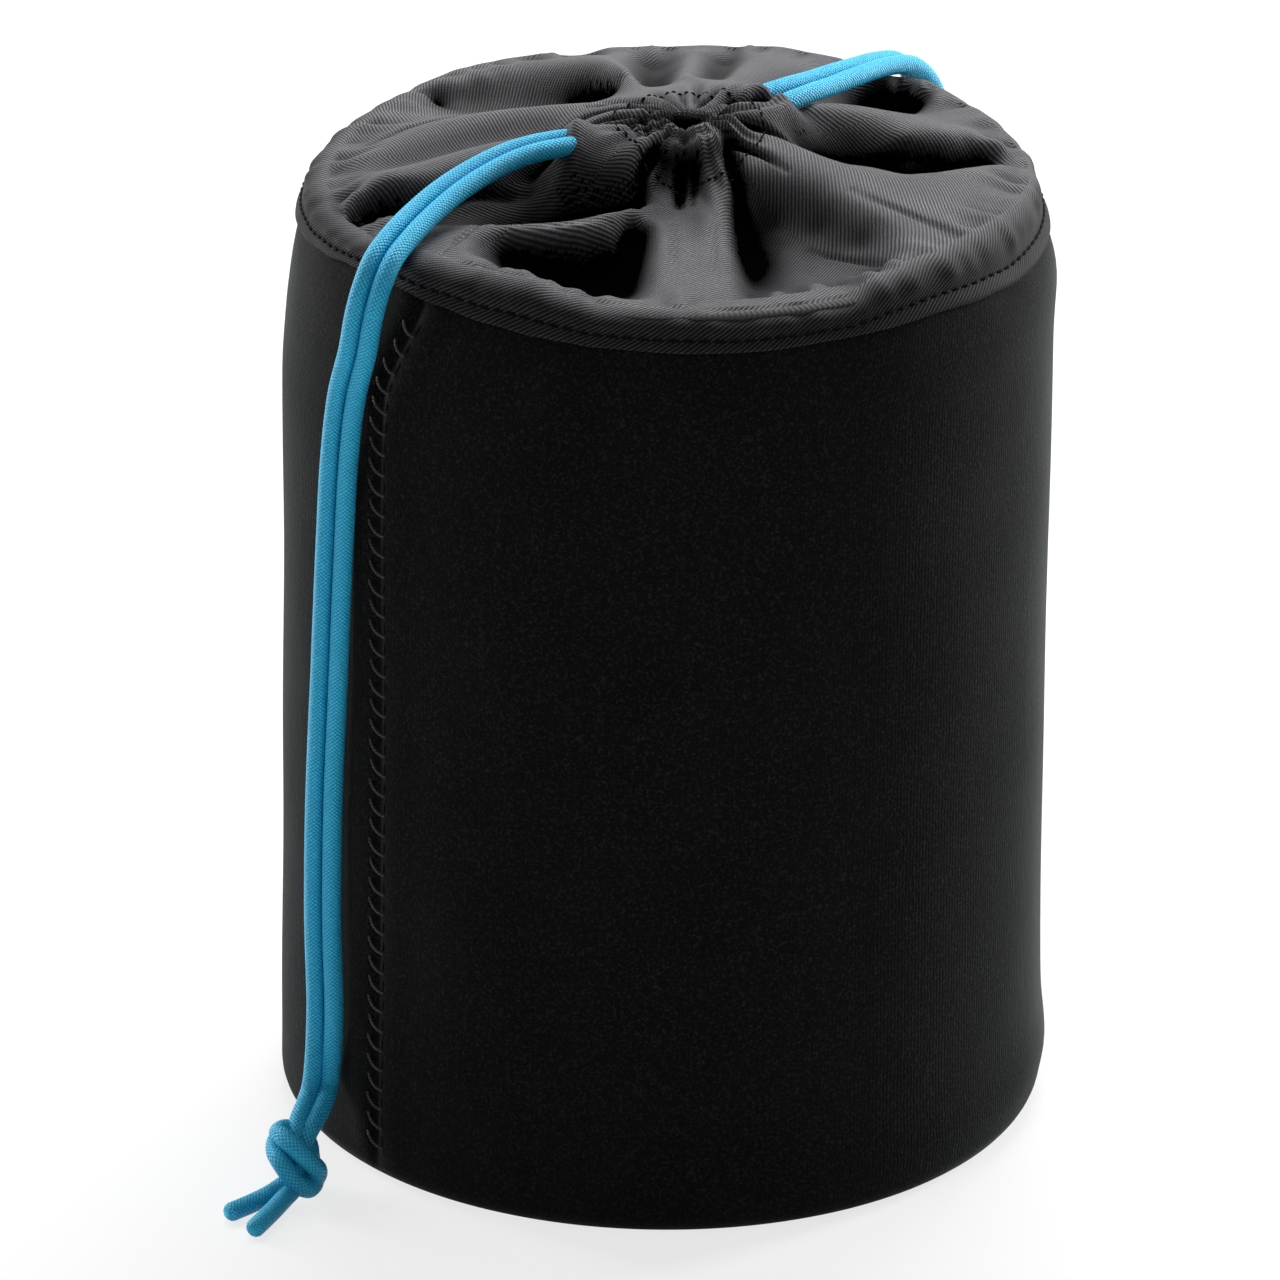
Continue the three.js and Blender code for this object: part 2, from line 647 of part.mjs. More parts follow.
// A strand of a pair: its own smooth line, to one side of the pair's way. The pair closes up after its exit.
function strandLine(route, side, exitSide) {
  const bearings = travelBearings(route);
  const points = route.map(([x, y, rise], k) => {
    const across = bearings[k] + Math.PI / 2;
    const apartBy = Math.max(STRAND_SIDE, lerp(exitSide, STRAND_SIDE, k / SPREAD_POINTS));
    return polar(side * apartBy, across, RIM_Z + rise, x, y);
  });
  return smoothLine(points);
}

// The share of a strand's length at which it first comes down to the hinge's height.
function hingeShare(line) {
  const shares = Array.from({ length: LINE_SAMPLES }, (_, k) => (k + 1) / LINE_SAMPLES);
  return shares.find((share) => line.getPointAt(share).z < RIM_Z - HINGE_DROP);
}

// The tube round a line between two shares of its length.
function tubeBetween(line, from, to, stepDiameters = STEP_DIAMETERS) {
  const steps = Math.round(((to - from) * line.getLength()) / (stepDiameters * CORD_D));
  const points = Array.from({ length: steps + 1 }, (_, k) => line.getPointAt(lerp(from, to, k / steps)));
  return tube(new PointRun(points), steps, CORD_D, CORD_SIDES);
}

function strandPieces(name, route, side, exitSide, number) {
  const line = strandLine(route, side, exitSide);
  const split = hingeShare(line);
  const gapShare = GAP / line.getLength();
  add(`${name}_cord_lead_${number}`, tubeBetween(line, gapShare, split - gapShare), cordBraid);
  add(`${name}_cord_drop_${number}`, tubeBetween(line, split + gapShare, 1 - gapShare), cordBraid);
}

// The middle line of an overhand knot, for t from -2 to 2, as distances along the knot, across it and up
// from its middle. Each polynomial is divided by its own highest value.
function knotWay(t) {
  const along = (t ** 5 - 10 * t) / (8 * 2 ** 0.25);
  const across = (t ** 3 - 3 * t) / 2;
  const up = -(t ** 4 - 4 * t ** 2 + 2) / 2;
  return new THREE.Vector3(KNOT_HALF_L * along, KNOT_HALF_W * across, KNOT_HALF_H * up);
}

// One strand's middle in the knot, on its side of the middle line.
function knotPoint(t, side) {
  const step = 1 / LINE_SAMPLES;
  const way = knotWay(t + step).sub(knotWay(t - step));
  const beside = new THREE.Vector3(-way.y, way.x, 0).setLength(side * STRAND_SIDE * KNOT_PRESS_SHARE);
  return knotWay(t).add(beside);
}

// An overhand knot in both strands of a pair, with its two cut ends. It starts where the strands end.
// Each strand is joined from stretches too short to cross themselves, and the hollows between are closed.
function knot(route, tailDeg) {
  const heading = travelBearings(route).at(-1);
  const [x, y, rise] = route.at(-1);
  const ahead = new THREE.Vector3(x, y, rise).sub(new THREE.Vector3(...route.at(-2))).normalize();
  const turn = (heading + rad(tailDeg)) / 2;
  const middle = polar(KNOT_LEAD, turn, CORD_D / 2 + KNOT_HALF_H + GAP, x, y);
  const up = new THREE.Vector3(0, 0, 1);
  const strandSolids = (side) => {
    const start = polar(side * STRAND_SIDE, heading + Math.PI / 2, RIM_Z + rise, x, y);
    const points = [start, start.clone().addScaledVector(ahead, CORD_D)];
    for (let k = 0; k <= KNOT_STEPS; k++) {
      const t = lerp(-2, 2, k / KNOT_STEPS);
      points.push(knotPoint(t, side).applyAxisAngle(up, turn).add(middle));
    }
    const out = points.at(-1);
    points.push(polar(TAIL_L, rad(tailDeg + side * TAIL_SPLAY_DEG), out.z, out.x, out.y));
    const line = smoothLine(points);
    const bound = (k) => lerp((2 * GAP) / line.getLength(), 1, k / KNOT_STRETCHES);
    const lap = CORD_D / 2 / line.getLength();
    return Array.from({ length: KNOT_STRETCHES }, (_, k) => {
      const to = Math.min(bound(k + 1) + lap, 1);
      return solidOf(tubeBetween(line, bound(k), to, KNOT_STEP_DIAMETERS));
    });
  };
  const stretches = [...strandSolids(-1), ...strandSolids(1)];
  const whole = stretches.reduce((all, stretch) => all.add(stretch)).simplify(KNOT_FLATTEN);
  const shells = whole.decompose();
  return geometryFrom(shells.reduce((a, b) => (a.volume() > b.volume() ? a : b)));
}

// Assembly

add("sleeve", sleeve(), foamRubber);
add("side_seam_thread", sideSeamThread(), thread);
add("base_panel", basePanel(), foamRubber);
add("base_pad", basePad(), paddingFoam);
add("base_lining", baseLining(), liningCloth);
add("base_binding_tape", baseBinding(), tape);
add("base_seam_thread", baseSeamThread(), thread);
add("rim_facing_tape", rimFacing(), tape);
add("collar_front", collarPanel(COLLAR_SEAM_DEG, COLLAR_SEAM_DEG + 180), collarCloth);
add("collar_back", collarPanel(COLLAR_SEAM_DEG + 180, COLLAR_SEAM_DEG + 360), collarCloth);
add("rim_stitch_thread", rimStitchThread(), thread);
add("hem_front", hemHalf(LEFT_EXIT_DEG, RIGHT_EXIT_DEG), collarCloth);
add("hem_back", hemHalf(RIGHT_EXIT_DEG, LEFT_EXIT_DEG + 360), collarCloth);
add("left_cord_loop", cordLoop(LEFT_EXIT_DEG, LOOP_INNER_R, STRAND_SIDE), cordBraid);
add("right_cord_loop", cordLoop(RIGHT_EXIT_DEG, LOOP_OUTER_R, RIGHT_EXIT_SIDE), cordBraid);
for (const [name, route, exitSide, tailDeg] of [
  ["left", LEFT_ROUTE, STRAND_SIDE, LEFT_TAIL_DEG],
  ["right", RIGHT_ROUTE, RIGHT_EXIT_SIDE, RIGHT_TAIL_DEG],
]) {
  [-1, 1].forEach((side, k) => strandPieces(name, route, side, exitSide, k + 1));
  add(`${name}_cord_knot`, knot(route, tailDeg), cordBraid);
}

export default part;
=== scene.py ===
import math

import bpy
import numpy as np
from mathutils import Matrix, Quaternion, Vector

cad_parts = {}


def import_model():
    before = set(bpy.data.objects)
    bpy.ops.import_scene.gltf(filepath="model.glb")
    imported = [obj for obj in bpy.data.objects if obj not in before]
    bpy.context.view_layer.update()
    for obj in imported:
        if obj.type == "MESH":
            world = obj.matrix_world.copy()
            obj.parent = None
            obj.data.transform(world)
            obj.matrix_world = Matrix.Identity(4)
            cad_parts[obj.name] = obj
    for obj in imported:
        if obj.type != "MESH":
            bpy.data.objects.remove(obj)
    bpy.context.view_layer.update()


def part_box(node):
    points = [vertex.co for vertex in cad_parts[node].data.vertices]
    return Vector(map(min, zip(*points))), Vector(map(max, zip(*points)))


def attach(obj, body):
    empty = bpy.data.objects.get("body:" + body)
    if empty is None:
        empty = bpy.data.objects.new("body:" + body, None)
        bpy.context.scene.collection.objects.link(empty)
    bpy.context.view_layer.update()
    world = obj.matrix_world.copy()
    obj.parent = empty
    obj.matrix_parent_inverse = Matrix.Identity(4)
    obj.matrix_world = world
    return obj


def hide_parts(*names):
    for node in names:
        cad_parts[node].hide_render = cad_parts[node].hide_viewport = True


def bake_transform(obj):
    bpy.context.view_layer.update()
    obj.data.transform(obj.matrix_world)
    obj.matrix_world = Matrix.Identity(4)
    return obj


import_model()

# Lengths are in metres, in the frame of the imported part: +Z up, -Y towards the viewer.
MM = 0.001
TAU = math.tau
FOOT_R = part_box("sleeve")[1].x
RIM_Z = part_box("collar_front")[0].z

# The sleeve
WALL = 4.4 * MM
BODY_R = 55.7 * MM
TOP_R = 52.6 * MM
TOP_Z = RIM_Z + 4 * MM
DRAWN_IN_H = 18 * MM
FOOT_ROUND = 3.4 * MM
FOOT_TURN_W = 6 * MM
INNER_ROUND = 0.8 * MM
TAPE_T = 0.8 * MM
SEAM_DEG = -137
SEAM_DRIFT_DEG = 6
SEAM_CREASE_D = 0.55 * MM
SEAM_CREASE_W = 1.1 * MM

# The collar
CLOTH_T = 0.5 * MM
BAND_OVER = 0.85 * MM
MOUTH = np.array([2.5, -3.0]) * MM

# The drawcords
CORD_D = 2.8 * MM
GAP = 0.3 * MM
STRAND_SIDE = (CORD_D + GAP) / 2
RIGHT_EXIT_SIDE = 2.6 * MM

# The way of each pair of strands, from its exit over the collar, down the sleeve and to its knot.
LEFT_ROUTE = [
    (-0.0072, -0.0079, 0.1476), (-0.0122, -0.0099, 0.1507), (-0.0175, -0.0123, 0.1511), (-0.0223, -0.0147, 0.1505),
    (-0.0268, -0.0179, 0.1493), (-0.0310, -0.0223, 0.1480), (-0.0347, -0.0278, 0.1466), (-0.0376, -0.0333, 0.1453),
    (-0.0401, -0.0380, 0.1433), (-0.0416, -0.0400, 0.1399), (-0.0427, -0.0403, 0.1356), (-0.0436, -0.0394, 0.1300),
    (-0.0452, -0.0371, 0.1225), (-0.0463, -0.0356, 0.1125), (-0.0471, -0.0344, 0.0975), (-0.0479, -0.0333, 0.0785),
    (-0.0488, -0.0321, 0.0565), (-0.0490, -0.0322, 0.0385), (-0.0487, -0.0328, 0.0235),
]
RIGHT_ROUTE = [
    (0.0092, 0.0040, 0.1476), (0.0138, 0.0088, 0.1502), (0.0179, 0.0133, 0.1504), (0.0215, 0.0185, 0.1497),
    (0.0250, 0.0240, 0.1490), (0.0282, 0.0295, 0.1481), (0.0312, 0.0345, 0.1471), (0.0343, 0.0388, 0.1456),
    (0.0368, 0.0419, 0.1423), (0.0383, 0.0436, 0.1383), (0.0389, 0.0443, 0.1340), (0.0389, 0.0442, 0.1285),
    (0.0383, 0.0436, 0.1185), (0.0378, 0.0440, 0.1015), (0.0373, 0.0445, 0.0795), (0.0367, 0.0450, 0.0565),
    (0.0364, 0.0456, 0.0385), (0.0362, 0.0466, 0.0235),
]


# Meshes

def smooth(t):
    """Eases from 0 to 1, and stays there."""
    t = np.clip(t, 0, 1)
    return t * t * (3 - 2 * t)


def polar(r, angle, z=0.0):
    return np.stack(np.broadcast_arrays(r * np.cos(angle), r * np.sin(angle), z), -1)


def run_along(line):
    """The distance along a line from its start to each of its points."""
    return np.concatenate([[0], np.cumsum(np.linalg.norm(np.diff(line, axis=0), axis=1))])


def linked(name, data):
    obj = bpy.data.objects.new(name, data)
    bpy.context.scene.collection.objects.link(obj)
    return obj


def mesh_object(name, points, faces, places, material):
    """An object from points, faces and, in millimetres, each face corner's place on the stuff it is made of."""
    mesh = bpy.data.meshes.new(name)
    mesh.from_pydata(np.asarray(points, float).tolist(), [], [list(map(int, f)) for f in faces])
    layer = mesh.uv_layers.new(name="stuff")
    layer.uv.foreach_set("vector", np.concatenate([np.ravel(p) for p in places]).astype(np.float32))
    mesh.polygons.foreach_set("use_smooth", np.ones(len(mesh.polygons), bool))
    mesh.materials.append(material)
    mesh.update()
    return linked(name, mesh)


def grid_faces(rows, columns, wrap_rows=False, wrap_columns=False):
    """Faces over a grid of points, and the grid indices of their corners before wrapping."""
    j, i = np.meshgrid(np.arange(rows - (not wrap_rows)), np.arange(columns - (not wrap_columns)), indexing="ij")
    j, i = j.ravel(), i.ravel()
    at = np.stack([np.stack(c, 1) for c in ((j, i), (j + 1, i), (j + 1, i + 1), (j, i + 1))], 1)
    return (at[..., 0] % rows) * columns + at[..., 1] % columns, at


def closed_sheet(name, outer, inner, place, material):
    """A closed ring of sheet between two grids of points [round, across]. place(cell, j, i) gives the place on the
    sheet, in mm, of a corner that lies in a cell of the round."""
    rows, columns = outer.shape[:2]
    faces, at = grid_faces(rows, columns, True)
    far = rows * columns
    all_faces, all_at = [faces, faces[:, ::-1] + far], [at, at[:, ::-1]]
    row = np.arange(rows)
    for i, way in ((0, 1), (columns - 1, -1)):
        a, b = row * columns + i, (row + 1) % rows * columns + i
        spot = np.stack([np.stack([row + n, row * 0 + i], 1) for n in (0, 0, 1, 1)], 1)
        all_faces.append(np.stack([a, a + far, b + far, b], 1)[:, ::way])
        all_at.append(spot[:, ::way])
    at = np.concatenate(all_at)
    points = np.concatenate([outer.reshape(-1, 3), inner.reshape(-1, 3)])
    cell = np.repeat(at[..., 0].min(1)[:, None], 4, axis=1)
    return mesh_object(name, points, np.concatenate(all_faces), [place(cell, at[..., 0], at[..., 1])], material)


def spun(name, outline, material, steps=160):
    """A turned piece. Its outline is closed, or starts and ends on the axis."""
    outline = np.asarray(outline, float)
    solid = outline[0, 0] < 1e-9
    ring = outline[1:-1] if solid else outline
    angle = np.arange(steps) * TAU / steps
    points = polar(ring[None, :, 0], angle[:, None], ring[None, :, 1])
    faces, at = grid_faces(steps, len(ring), True, not solid)
    run = run_along(np.vstack([ring, ring[:1]]))
    turn = at[..., 0] * TAU / steps
    if solid:
        spots = [polar(ring[at[..., 1], 0], turn)[..., :2] / MM]
    else:
        spots = [np.stack([turn * ring[:, 0].max(), run[at[..., 1]]], -1) / MM]
    faces, points, last = list(faces), points.reshape(-1, 3), len(ring) - 1
    if solid:
        count = len(points)
        points = np.vstack([points, [0, 0, outline[0, 1]], [0, 0, outline[-1, 1]]])
        for j in range(steps):
            k = (j + 1) % steps
            faces.append([j * len(ring), count, k * len(ring)])
            faces.append([j * len(ring) + last, k * len(ring) + last, count + 1])
            spots += [points[f][:, :2] / MM for f in faces[-2:]]
    return mesh_object(name, points, faces, spots, material)


def frames_along(line):
    """Two directions across a line at each of its points, which turn as little as they can."""
    way = np.gradient(line, axis=0)
    way /= np.linalg.norm(way, axis=1)[:, None]
    side = np.cross(way[0], (0, 0, 1) if abs(way[0][2]) < 0.9 else (1, 0, 0))
    across = []
    for w in way:
        side = side - w * (side @ w)
        side /= np.linalg.norm(side)
        across.append(side)
    across = np.array(across)
    return across, np.cross(way, across)


# The rings of points that round off a tube's end, as shares of its radius.
END_SHARES = (0.38, 0.71, 0.92)


def tubes(name, lines, radius, sides, material, relief=None):
    """Closed tubes with rounded ends along lines of points. relief(along, angle) is added to the radius."""
    points, faces, places, start = [], [], [], 0
    angle = np.arange(sides) * TAU / sides
    for line in lines:
        line = np.asarray(line, float)
        across, up = frames_along(line)
        along = run_along(line)
        size = np.full((len(line), sides), radius)
        if relief:
            size += relief(along[:, None], angle[None, :])
        ring = line[:, None] + size[..., None] * (
            np.cos(angle)[None, :, None] * across[:, None] + np.sin(angle)[None, :, None] * up[:, None])
        rings, runs = [ring], [along]
        for end, beside, sign in ((0, 1, -1), (-1, -2, 1)):
            way = (line[end] - line[beside]) / np.linalg.norm(line[end] - line[beside])
            cap = [line[end] + (ring[end] - line[end]) * math.sqrt(1 - s * s) + way * radius * s * 0.8
                   for s in END_SHARES]
            run = [along[end] + sign * radius * s * 0.8 for s in END_SHARES]
            rings = [np.array(cap[::-1]), *rings] if sign < 0 else [*rings, np.array(cap)]
            runs = [run[::-1], *runs] if sign < 0 else [*runs, run]
        ring, along = np.concatenate(rings), np.concatenate(runs)
        quads, at = grid_faces(len(ring), sides, False, True)
        spots = np.stack([along[at[..., 0]], at[..., 1] * TAU * radius / sides], -1) / MM
        count = len(ring) * sides
        points.append(np.vstack([ring.reshape(-1, 3), ring[0].mean(0), ring[-1].mean(0)]))
        faces += list(quads[:, ::-1] + start)
        places.append(spots[:, ::-1])
        for k in range(sides):
            n = (k + 1) % sides
            last = start + count - sides
            faces += [[start + n, start + k, start + count], [last + k, last + n, start + count + 1]]
        tips = np.array([along[0], 0, along[-1], 0]).reshape(1, 2, 1, 2)
        places.append(np.repeat(tips, 3, axis=2).repeat(sides, axis=0) / MM)
        start += count + 2
    return mesh_object(name, np.concatenate(points), faces, places, material)


def finished(obj, nodes, body="pouch"):
    """Hides the nodes that a piece replaces, and ties the piece to its body."""
    if nodes:
        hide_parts(*nodes)
    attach(obj, body)
    return obj


# Materials

class Nodes:
    """The nodes of a material or of the world, from its main shader to its output."""

    def __init__(self, owner, shader, output):
        owner.use_nodes = True
        self.tree = owner.node_tree
        self.tree.nodes.clear()
        self.shader = self.node(shader)
        self.surface = self.node(output).inputs["Surface"]
        self.feed(self.surface, self.shader.outputs[0])

    def node(self, kind, inputs=None, **settings):
        made = self.tree.nodes.new(kind)
        for key, value in settings.items():
            setattr(made, key, value)
        for key, value in (inputs or {}).items():
            self.feed(made.inputs[key], value)
        return made

    def feed(self, socket, value):
        if isinstance(value, bpy.types.NodeSocket):
            self.tree.links.new(value, socket)
        else:
            socket.default_value = value

    def math(self, operation, a, b=0.0, c=0.0):
        return self.node("ShaderNodeMath", {0: a, 1: b, 2: c}, operation=operation).outputs[0]

    def mix(self, share, a, b):
        made = self.node("ShaderNodeMix", data_type="RGBA")
        for key, value in ((0, share), (6, a), (7, b)):
            self.feed(made.inputs[key], (*value, 1) if isinstance(value, tuple) else value)
        return made.outputs[2]

    def spread(self, value, low, high, to_low=0.0, to_high=1.0):
        inputs = {"Value": value, "From Min": low, "From Max": high, "To Min": to_low, "To Max": to_high}
        return self.node("ShaderNodeMapRange", inputs).outputs[0]

    def noise(self, vector, scale, detail=3.0, roughness=0.5):
        inputs = {"Vector": vector, "Scale": scale, "Detail": detail, "Roughness": roughness}
        return self.node("ShaderNodeTexNoise", inputs).outputs["Fac"]

    def white_to_camera(self, white, share=1.0):
        """Mixes white over the shader for rays that come from the camera, or by way of gloss or clear stuff."""
        path = self.node("ShaderNodeLightPath").outputs
        seen = path["Is Camera Ray"]
        for other in ("Is Glossy Ray", "Is Transmission Ray"):
            seen = self.math("MAXIMUM", seen, path[other])
        white = self.node(white, {"Color": (1, 1, 1, 1), "Strength": 1})
        shaders = {0: self.math("MULTIPLY", seen, share), 1: self.shader.outputs[0], 2: white.outputs[0]}
        self.feed(self.surface, self.node("ShaderNodeMixShader", shaders).outputs[0])


class Stuff(Nodes):
    """A material."""

    def __init__(self, name):
        self.material = bpy.data.materials.new(name)
        super().__init__(self.material, "ShaderNodeBsdfPrincipled", "ShaderNodeOutputMaterial")

    def place(self):
        """The place in the part's frame, in metres."""
        return self.node("ShaderNodeTexCoord").outputs["Object"]

    def stuff_place(self):
        """The place on the cloth or along the cord, in millimetres, as x and y."""
        split = self.node("ShaderNodeSeparateXYZ", {0: self.node("ShaderNodeUVMap", uv_map="stuff").outputs[0]})
        return split.outputs[0], split.outputs[1]

    def ripple(self, value, pitch, offset=0.0):
        """A wave from 0 to 1 with one crest in each pitch."""
        turned = self.math("MULTIPLY_ADD", value, TAU / pitch, offset)
        return self.math("MULTIPLY_ADD", self.math("SINE", turned), 0.5, 0.5)

    def finish(self, color, roughness, height=None, depth=0.0, **sockets):
        self.feed(self.shader.inputs["Base Color"], color)
        self.feed(self.shader.inputs["Roughness"], roughness)
        for name, value in sockets.items():
            self.feed(self.shader.inputs[name.replace("_", " ")], value)
        if height is not None:
            bump = self.node("ShaderNodeBump", {"Height": height, "Strength": 1.0, "Distance": depth})
            self.feed(self.shader.inputs["Normal"], bump.outputs[0])
        return self.material


def foam_rubber():
    """Foam rubber faced with a fine jersey knit."""
    s = Stuff("foam_rubber_knit")
    u, v = s.stuff_place()
    uneven = s.math("MULTIPLY", s.noise(s.place(), 900.0, 2.0), 0.5)
    wale, course = s.ripple(s.math("ADD", u, uneven), 0.62), s.ripple(s.math("ADD", v, uneven), 0.5)
    loops = s.math("MULTIPLY", s.math("POWER", wale, 0.6), s.math("MULTIPLY_ADD", course, 0.6, 0.4))
    fine = s.noise(s.place(), 1900.0, 3.0, 0.75)
    cloud = s.noise(s.place(), 55.0, 4.0, 0.6)
    fibre = s.spread(fine, 0.5, 0.72)
    worn = s.mix(s.math("MULTIPLY", cloud, 0.8), (0.0012, 0.0012, 0.0013), (0.0028, 0.0028, 0.003))
    color = s.mix(s.math("MULTIPLY", fibre, 0.6), worn, (0.026, 0.026, 0.027))
    height = s.math("ADD", s.math("MULTIPLY", loops, 0.3), fine)
    rough = s.spread(cloud, 0.3, 0.7, 0.78, 0.92)
    return s.finish(color, rough, height, 0.00009, Sheen_Weight=0.17, Sheen_Roughness=0.25,
                    Sheen_Tint=(0.85, 0.93, 0.92, 1), Specular_IOR_Level=0.06)


def twill():
    """Thin twill: slanting ribs of light yarn over dark, with painted shade in the collar's hollows and on the band
    below the rim.
    """
    s = Stuff("collar_twill")
    u, v = s.stuff_place()
    slant = s.math("MULTIPLY_ADD", v, 0.8, s.math("MULTIPLY", u, 0.6))
    wobble = s.noise(s.place(), 420.0, 2.0)
    slant = s.math("MULTIPLY_ADD", wobble, 0.2, slant)
    rib = s.ripple(slant, 0.48)
    along = s.math("MULTIPLY_ADD", v, -0.6, s.math("MULTIPLY", u, 0.8))
    yarn = s.ripple(along, 0.34)
    cloud = s.noise(s.place(), 120.0, 4.0, 0.6)
    fuzz = s.noise(s.place(), 3200.0, 2.0)
    share = s.math("MULTIPLY", s.math("POWER", rib, 1.4), s.math("MULTIPLY_ADD", yarn, 0.45, 0.55))
    share = s.math("MULTIPLY", share, s.spread(cloud, 0.25, 0.75, 0.6, 1.15))
    share = s.math("ADD", share, s.math("MULTIPLY_ADD", fuzz, 0.5, -0.25))
    color = s.mix(s.math("MAXIMUM", s.math("MINIMUM", share, 1.0), 0.0), (0.014, 0.014, 0.0155), (0.215, 0.212, 0.227))
    # Painted shade: in the collar's hollows and on the band below the rim, the colour is darkened to near black and the
    # gloss is taken away.
    hollow_shade = s.spread(s.node("ShaderNodeAttribute", attribute_name="hollow_shade").outputs["Fac"], 0.09, 0.43)
    shade = s.node("ShaderNodeAttribute", attribute_name="shade").outputs["Fac"]
    dark = s.math("MAXIMUM", hollow_shade, shade)
    color = s.mix(dark, color, (0.0008, 0.0008, 0.0009))
    height = s.math("MULTIPLY", rib, s.math("MULTIPLY_ADD", yarn, 0.35, 0.65))
    rough = s.spread(cloud, 0.3, 0.7, 0.46, 0.6)
    return s.finish(color, rough, height, 0.00006, Specular_IOR_Level=s.math("MULTIPLY_ADD", dark, -0.12, 0.12))


def cord_braid():
    """A bright round braid of plaits that cross over and under."""
    s = Stuff("cord_braid")
    along, around = s.stuff_place()
    circumference = math.pi * CORD_D / MM
    a = s.math("MULTIPLY_ADD", around, 6 / circumference, 0.0)
    b = s.math("MULTIPLY", along, 1 / BRAID_PITCH_MM)
    left, right = s.math("ADD", a, b), s.math("SUBTRACT", a, b)
    over = s.math("MULTIPLY", s.math("SINE", s.math("MULTIPLY", left, TAU)),
                  s.math("SINE", s.math("MULTIPLY", right, TAU)))
    plait = s.math("ABSOLUTE", over)
    fibre = s.noise(s.place(), 2400.0, 3.0, 0.6)
    cloud = s.noise(s.place(), 160.0, 2.0)
    # Painted shade: the colour darkens to deep navy in the grooves between the plaits and is lightest on their crowns.
    painted_plait_light = s.math("MULTIPLY", s.math("POWER", plait, 0.5), s.spread(fibre, 0.3, 0.7, 0.75, 1.1))
    worn = s.mix(cloud, (0.02, 0.58, 0.9), (0.032, 0.66, 0.95))
    color = s.mix(s.math("MINIMUM", painted_plait_light, 1.0), (0.002, 0.17, 0.4), worn)
    height = s.math("ADD", s.math("POWER", plait, 0.5), s.math("MULTIPLY", fibre, 0.35))
    return s.finish(color, 0.42, height, 0.00012, Specular_IOR_Level=0.35)


def thread_stuff(name, low, high, gloss):
    """Twisted sewing thread."""
    s = Stuff(name)
    along, around = s.stuff_place()
    twist = s.ripple(s.math("MULTIPLY_ADD", around, 0.8, along), 0.55)
    cloud = s.noise(s.place(), 900.0, 2.0)
    strand = s.mix(cloud, (low, low, low * 1.05), (high, high, high * 1.05))
    color = s.mix(twist, (low * 0.3, low * 0.3, low * 0.32), strand)
    return s.finish(color, 0.6, twist, 0.00006, Specular_IOR_Level=gloss)


def tape_stuff():
    """Binding tape with fine ribs across it."""
    s = Stuff("ribbed_tape")
    u, _ = s.stuff_place()
    rib = s.ripple(u, 0.8)
    cloud = s.noise(s.place(), 300.0, 3.0)
    color = s.mix(rib, (0.008, 0.008, 0.0085), s.mix(cloud, (0.018, 0.018, 0.019), (0.03, 0.03, 0.032)))
    return s.finish(color, 0.7, rib, 0.0001, Sheen_Weight=0.15)


def foam_stuff():
    """Open-cell foam."""
    s = Stuff("pad_foam")
    cells = s.node("ShaderNodeTexVoronoi", {"Vector": s.place(), "Scale": 1400.0}).outputs["Distance"]
    cloud = s.noise(s.place(), 200.0, 3.0)
    walls = s.mix(cloud, (0.012, 0.012, 0.012), (0.02, 0.02, 0.02))
    color = s.mix(s.math("MULTIPLY", cells, 1.2), (0.05, 0.05, 0.052), walls)
    return s.finish(color, 0.9, cells, 0.0002)


def lining_stuff():
    """Brushed lining cloth."""
    s = Stuff("lining_knit")
    u, v = s.stuff_place()
    knit = s.math("MULTIPLY", s.ripple(u, 0.9), s.ripple(v, 0.7))
    nap = s.noise(s.place(), 1500.0, 4.0, 0.7)
    color = s.mix(nap, (0.01, 0.01, 0.0105), (0.04, 0.04, 0.042))
    height = s.math("ADD", s.math("MULTIPLY", knit, 0.5), nap)
    return s.finish(color, 0.9, height, 0.00015, Sheen_Weight=0.3)


BRAID_PITCH_MM = 1.2
FOAM_RUBBER, TWILL, BRAID = foam_rubber(), twill(), cord_braid()
THREAD, SEAM_THREAD = thread_stuff("black_thread", 0.002, 0.006, 0.04), thread_stuff("seam_thread", 0.03, 0.07, 0.25)
TAPE, FOAM, LINING = tape_stuff(), foam_stuff(), lining_stuff()


# Camera, floor and light

CAMERA_ELEVATION = math.radians(23.22)
CAMERA_DISTANCE = 1.5
CAMERA_AIM = Vector((0, 0, 0.07))
CAMERA_ROLL = math.radians(0.64)
CAMERA_LENS = 288.2
SENSOR_W = 36
CAMERA_SHIFT = (-0.0192, -0.0021)
WORLD_STRENGTH = 0.12
FLOOR_SIZE = 12.0
FLOOR_WHITE_SHARE = 0.75
# Name, place, width and height, and power in watts of each light.
LIGHTS = (
    ("key", (0.1, 0.6, 1.05), (0.6, 0.45), 16.0),
    ("left_strip", (-0.8, 0.5, 0.25), (0.2, 0.9), 9.5),
    ("right_strip", (0.8, 0.5, 0.25), (0.2, 0.9), 14.0),
    ("front_fill", (-0.3, -1.1, 1.0), (1.2, 0.8), 2.0),
)


def camera():
    data = bpy.data.cameras.new("camera")
    obj = linked("camera", data)
    back = Vector((0, -math.cos(CAMERA_ELEVATION), math.sin(CAMERA_ELEVATION)))
    obj.location = CAMERA_AIM + back * CAMERA_DISTANCE
    obj.rotation_mode = "QUATERNION"
    obj.rotation_quaternion = (-back).to_track_quat("-Z", "Y") @ Quaternion((0, 0, 1), CAMERA_ROLL)
    data.lens, data.sensor_width = CAMERA_LENS, SENSOR_W
    data.shift_x, data.shift_y = CAMERA_SHIFT
    data.clip_start, data.clip_end = 0.05, 50
    bpy.context.scene.camera = obj


def soft_light(name, place, size, power):
    data = bpy.data.lights.new(name, "AREA")
    data.shape, data.size, data.size_y = "RECTANGLE", *size
    data.energy = power
    obj = linked(name, data)
    obj.location = place
    obj.rotation_mode = "QUATERNION"
    obj.rotation_quaternion = (CAMERA_AIM - Vector(place)).to_track_quat("-Z", "Y")


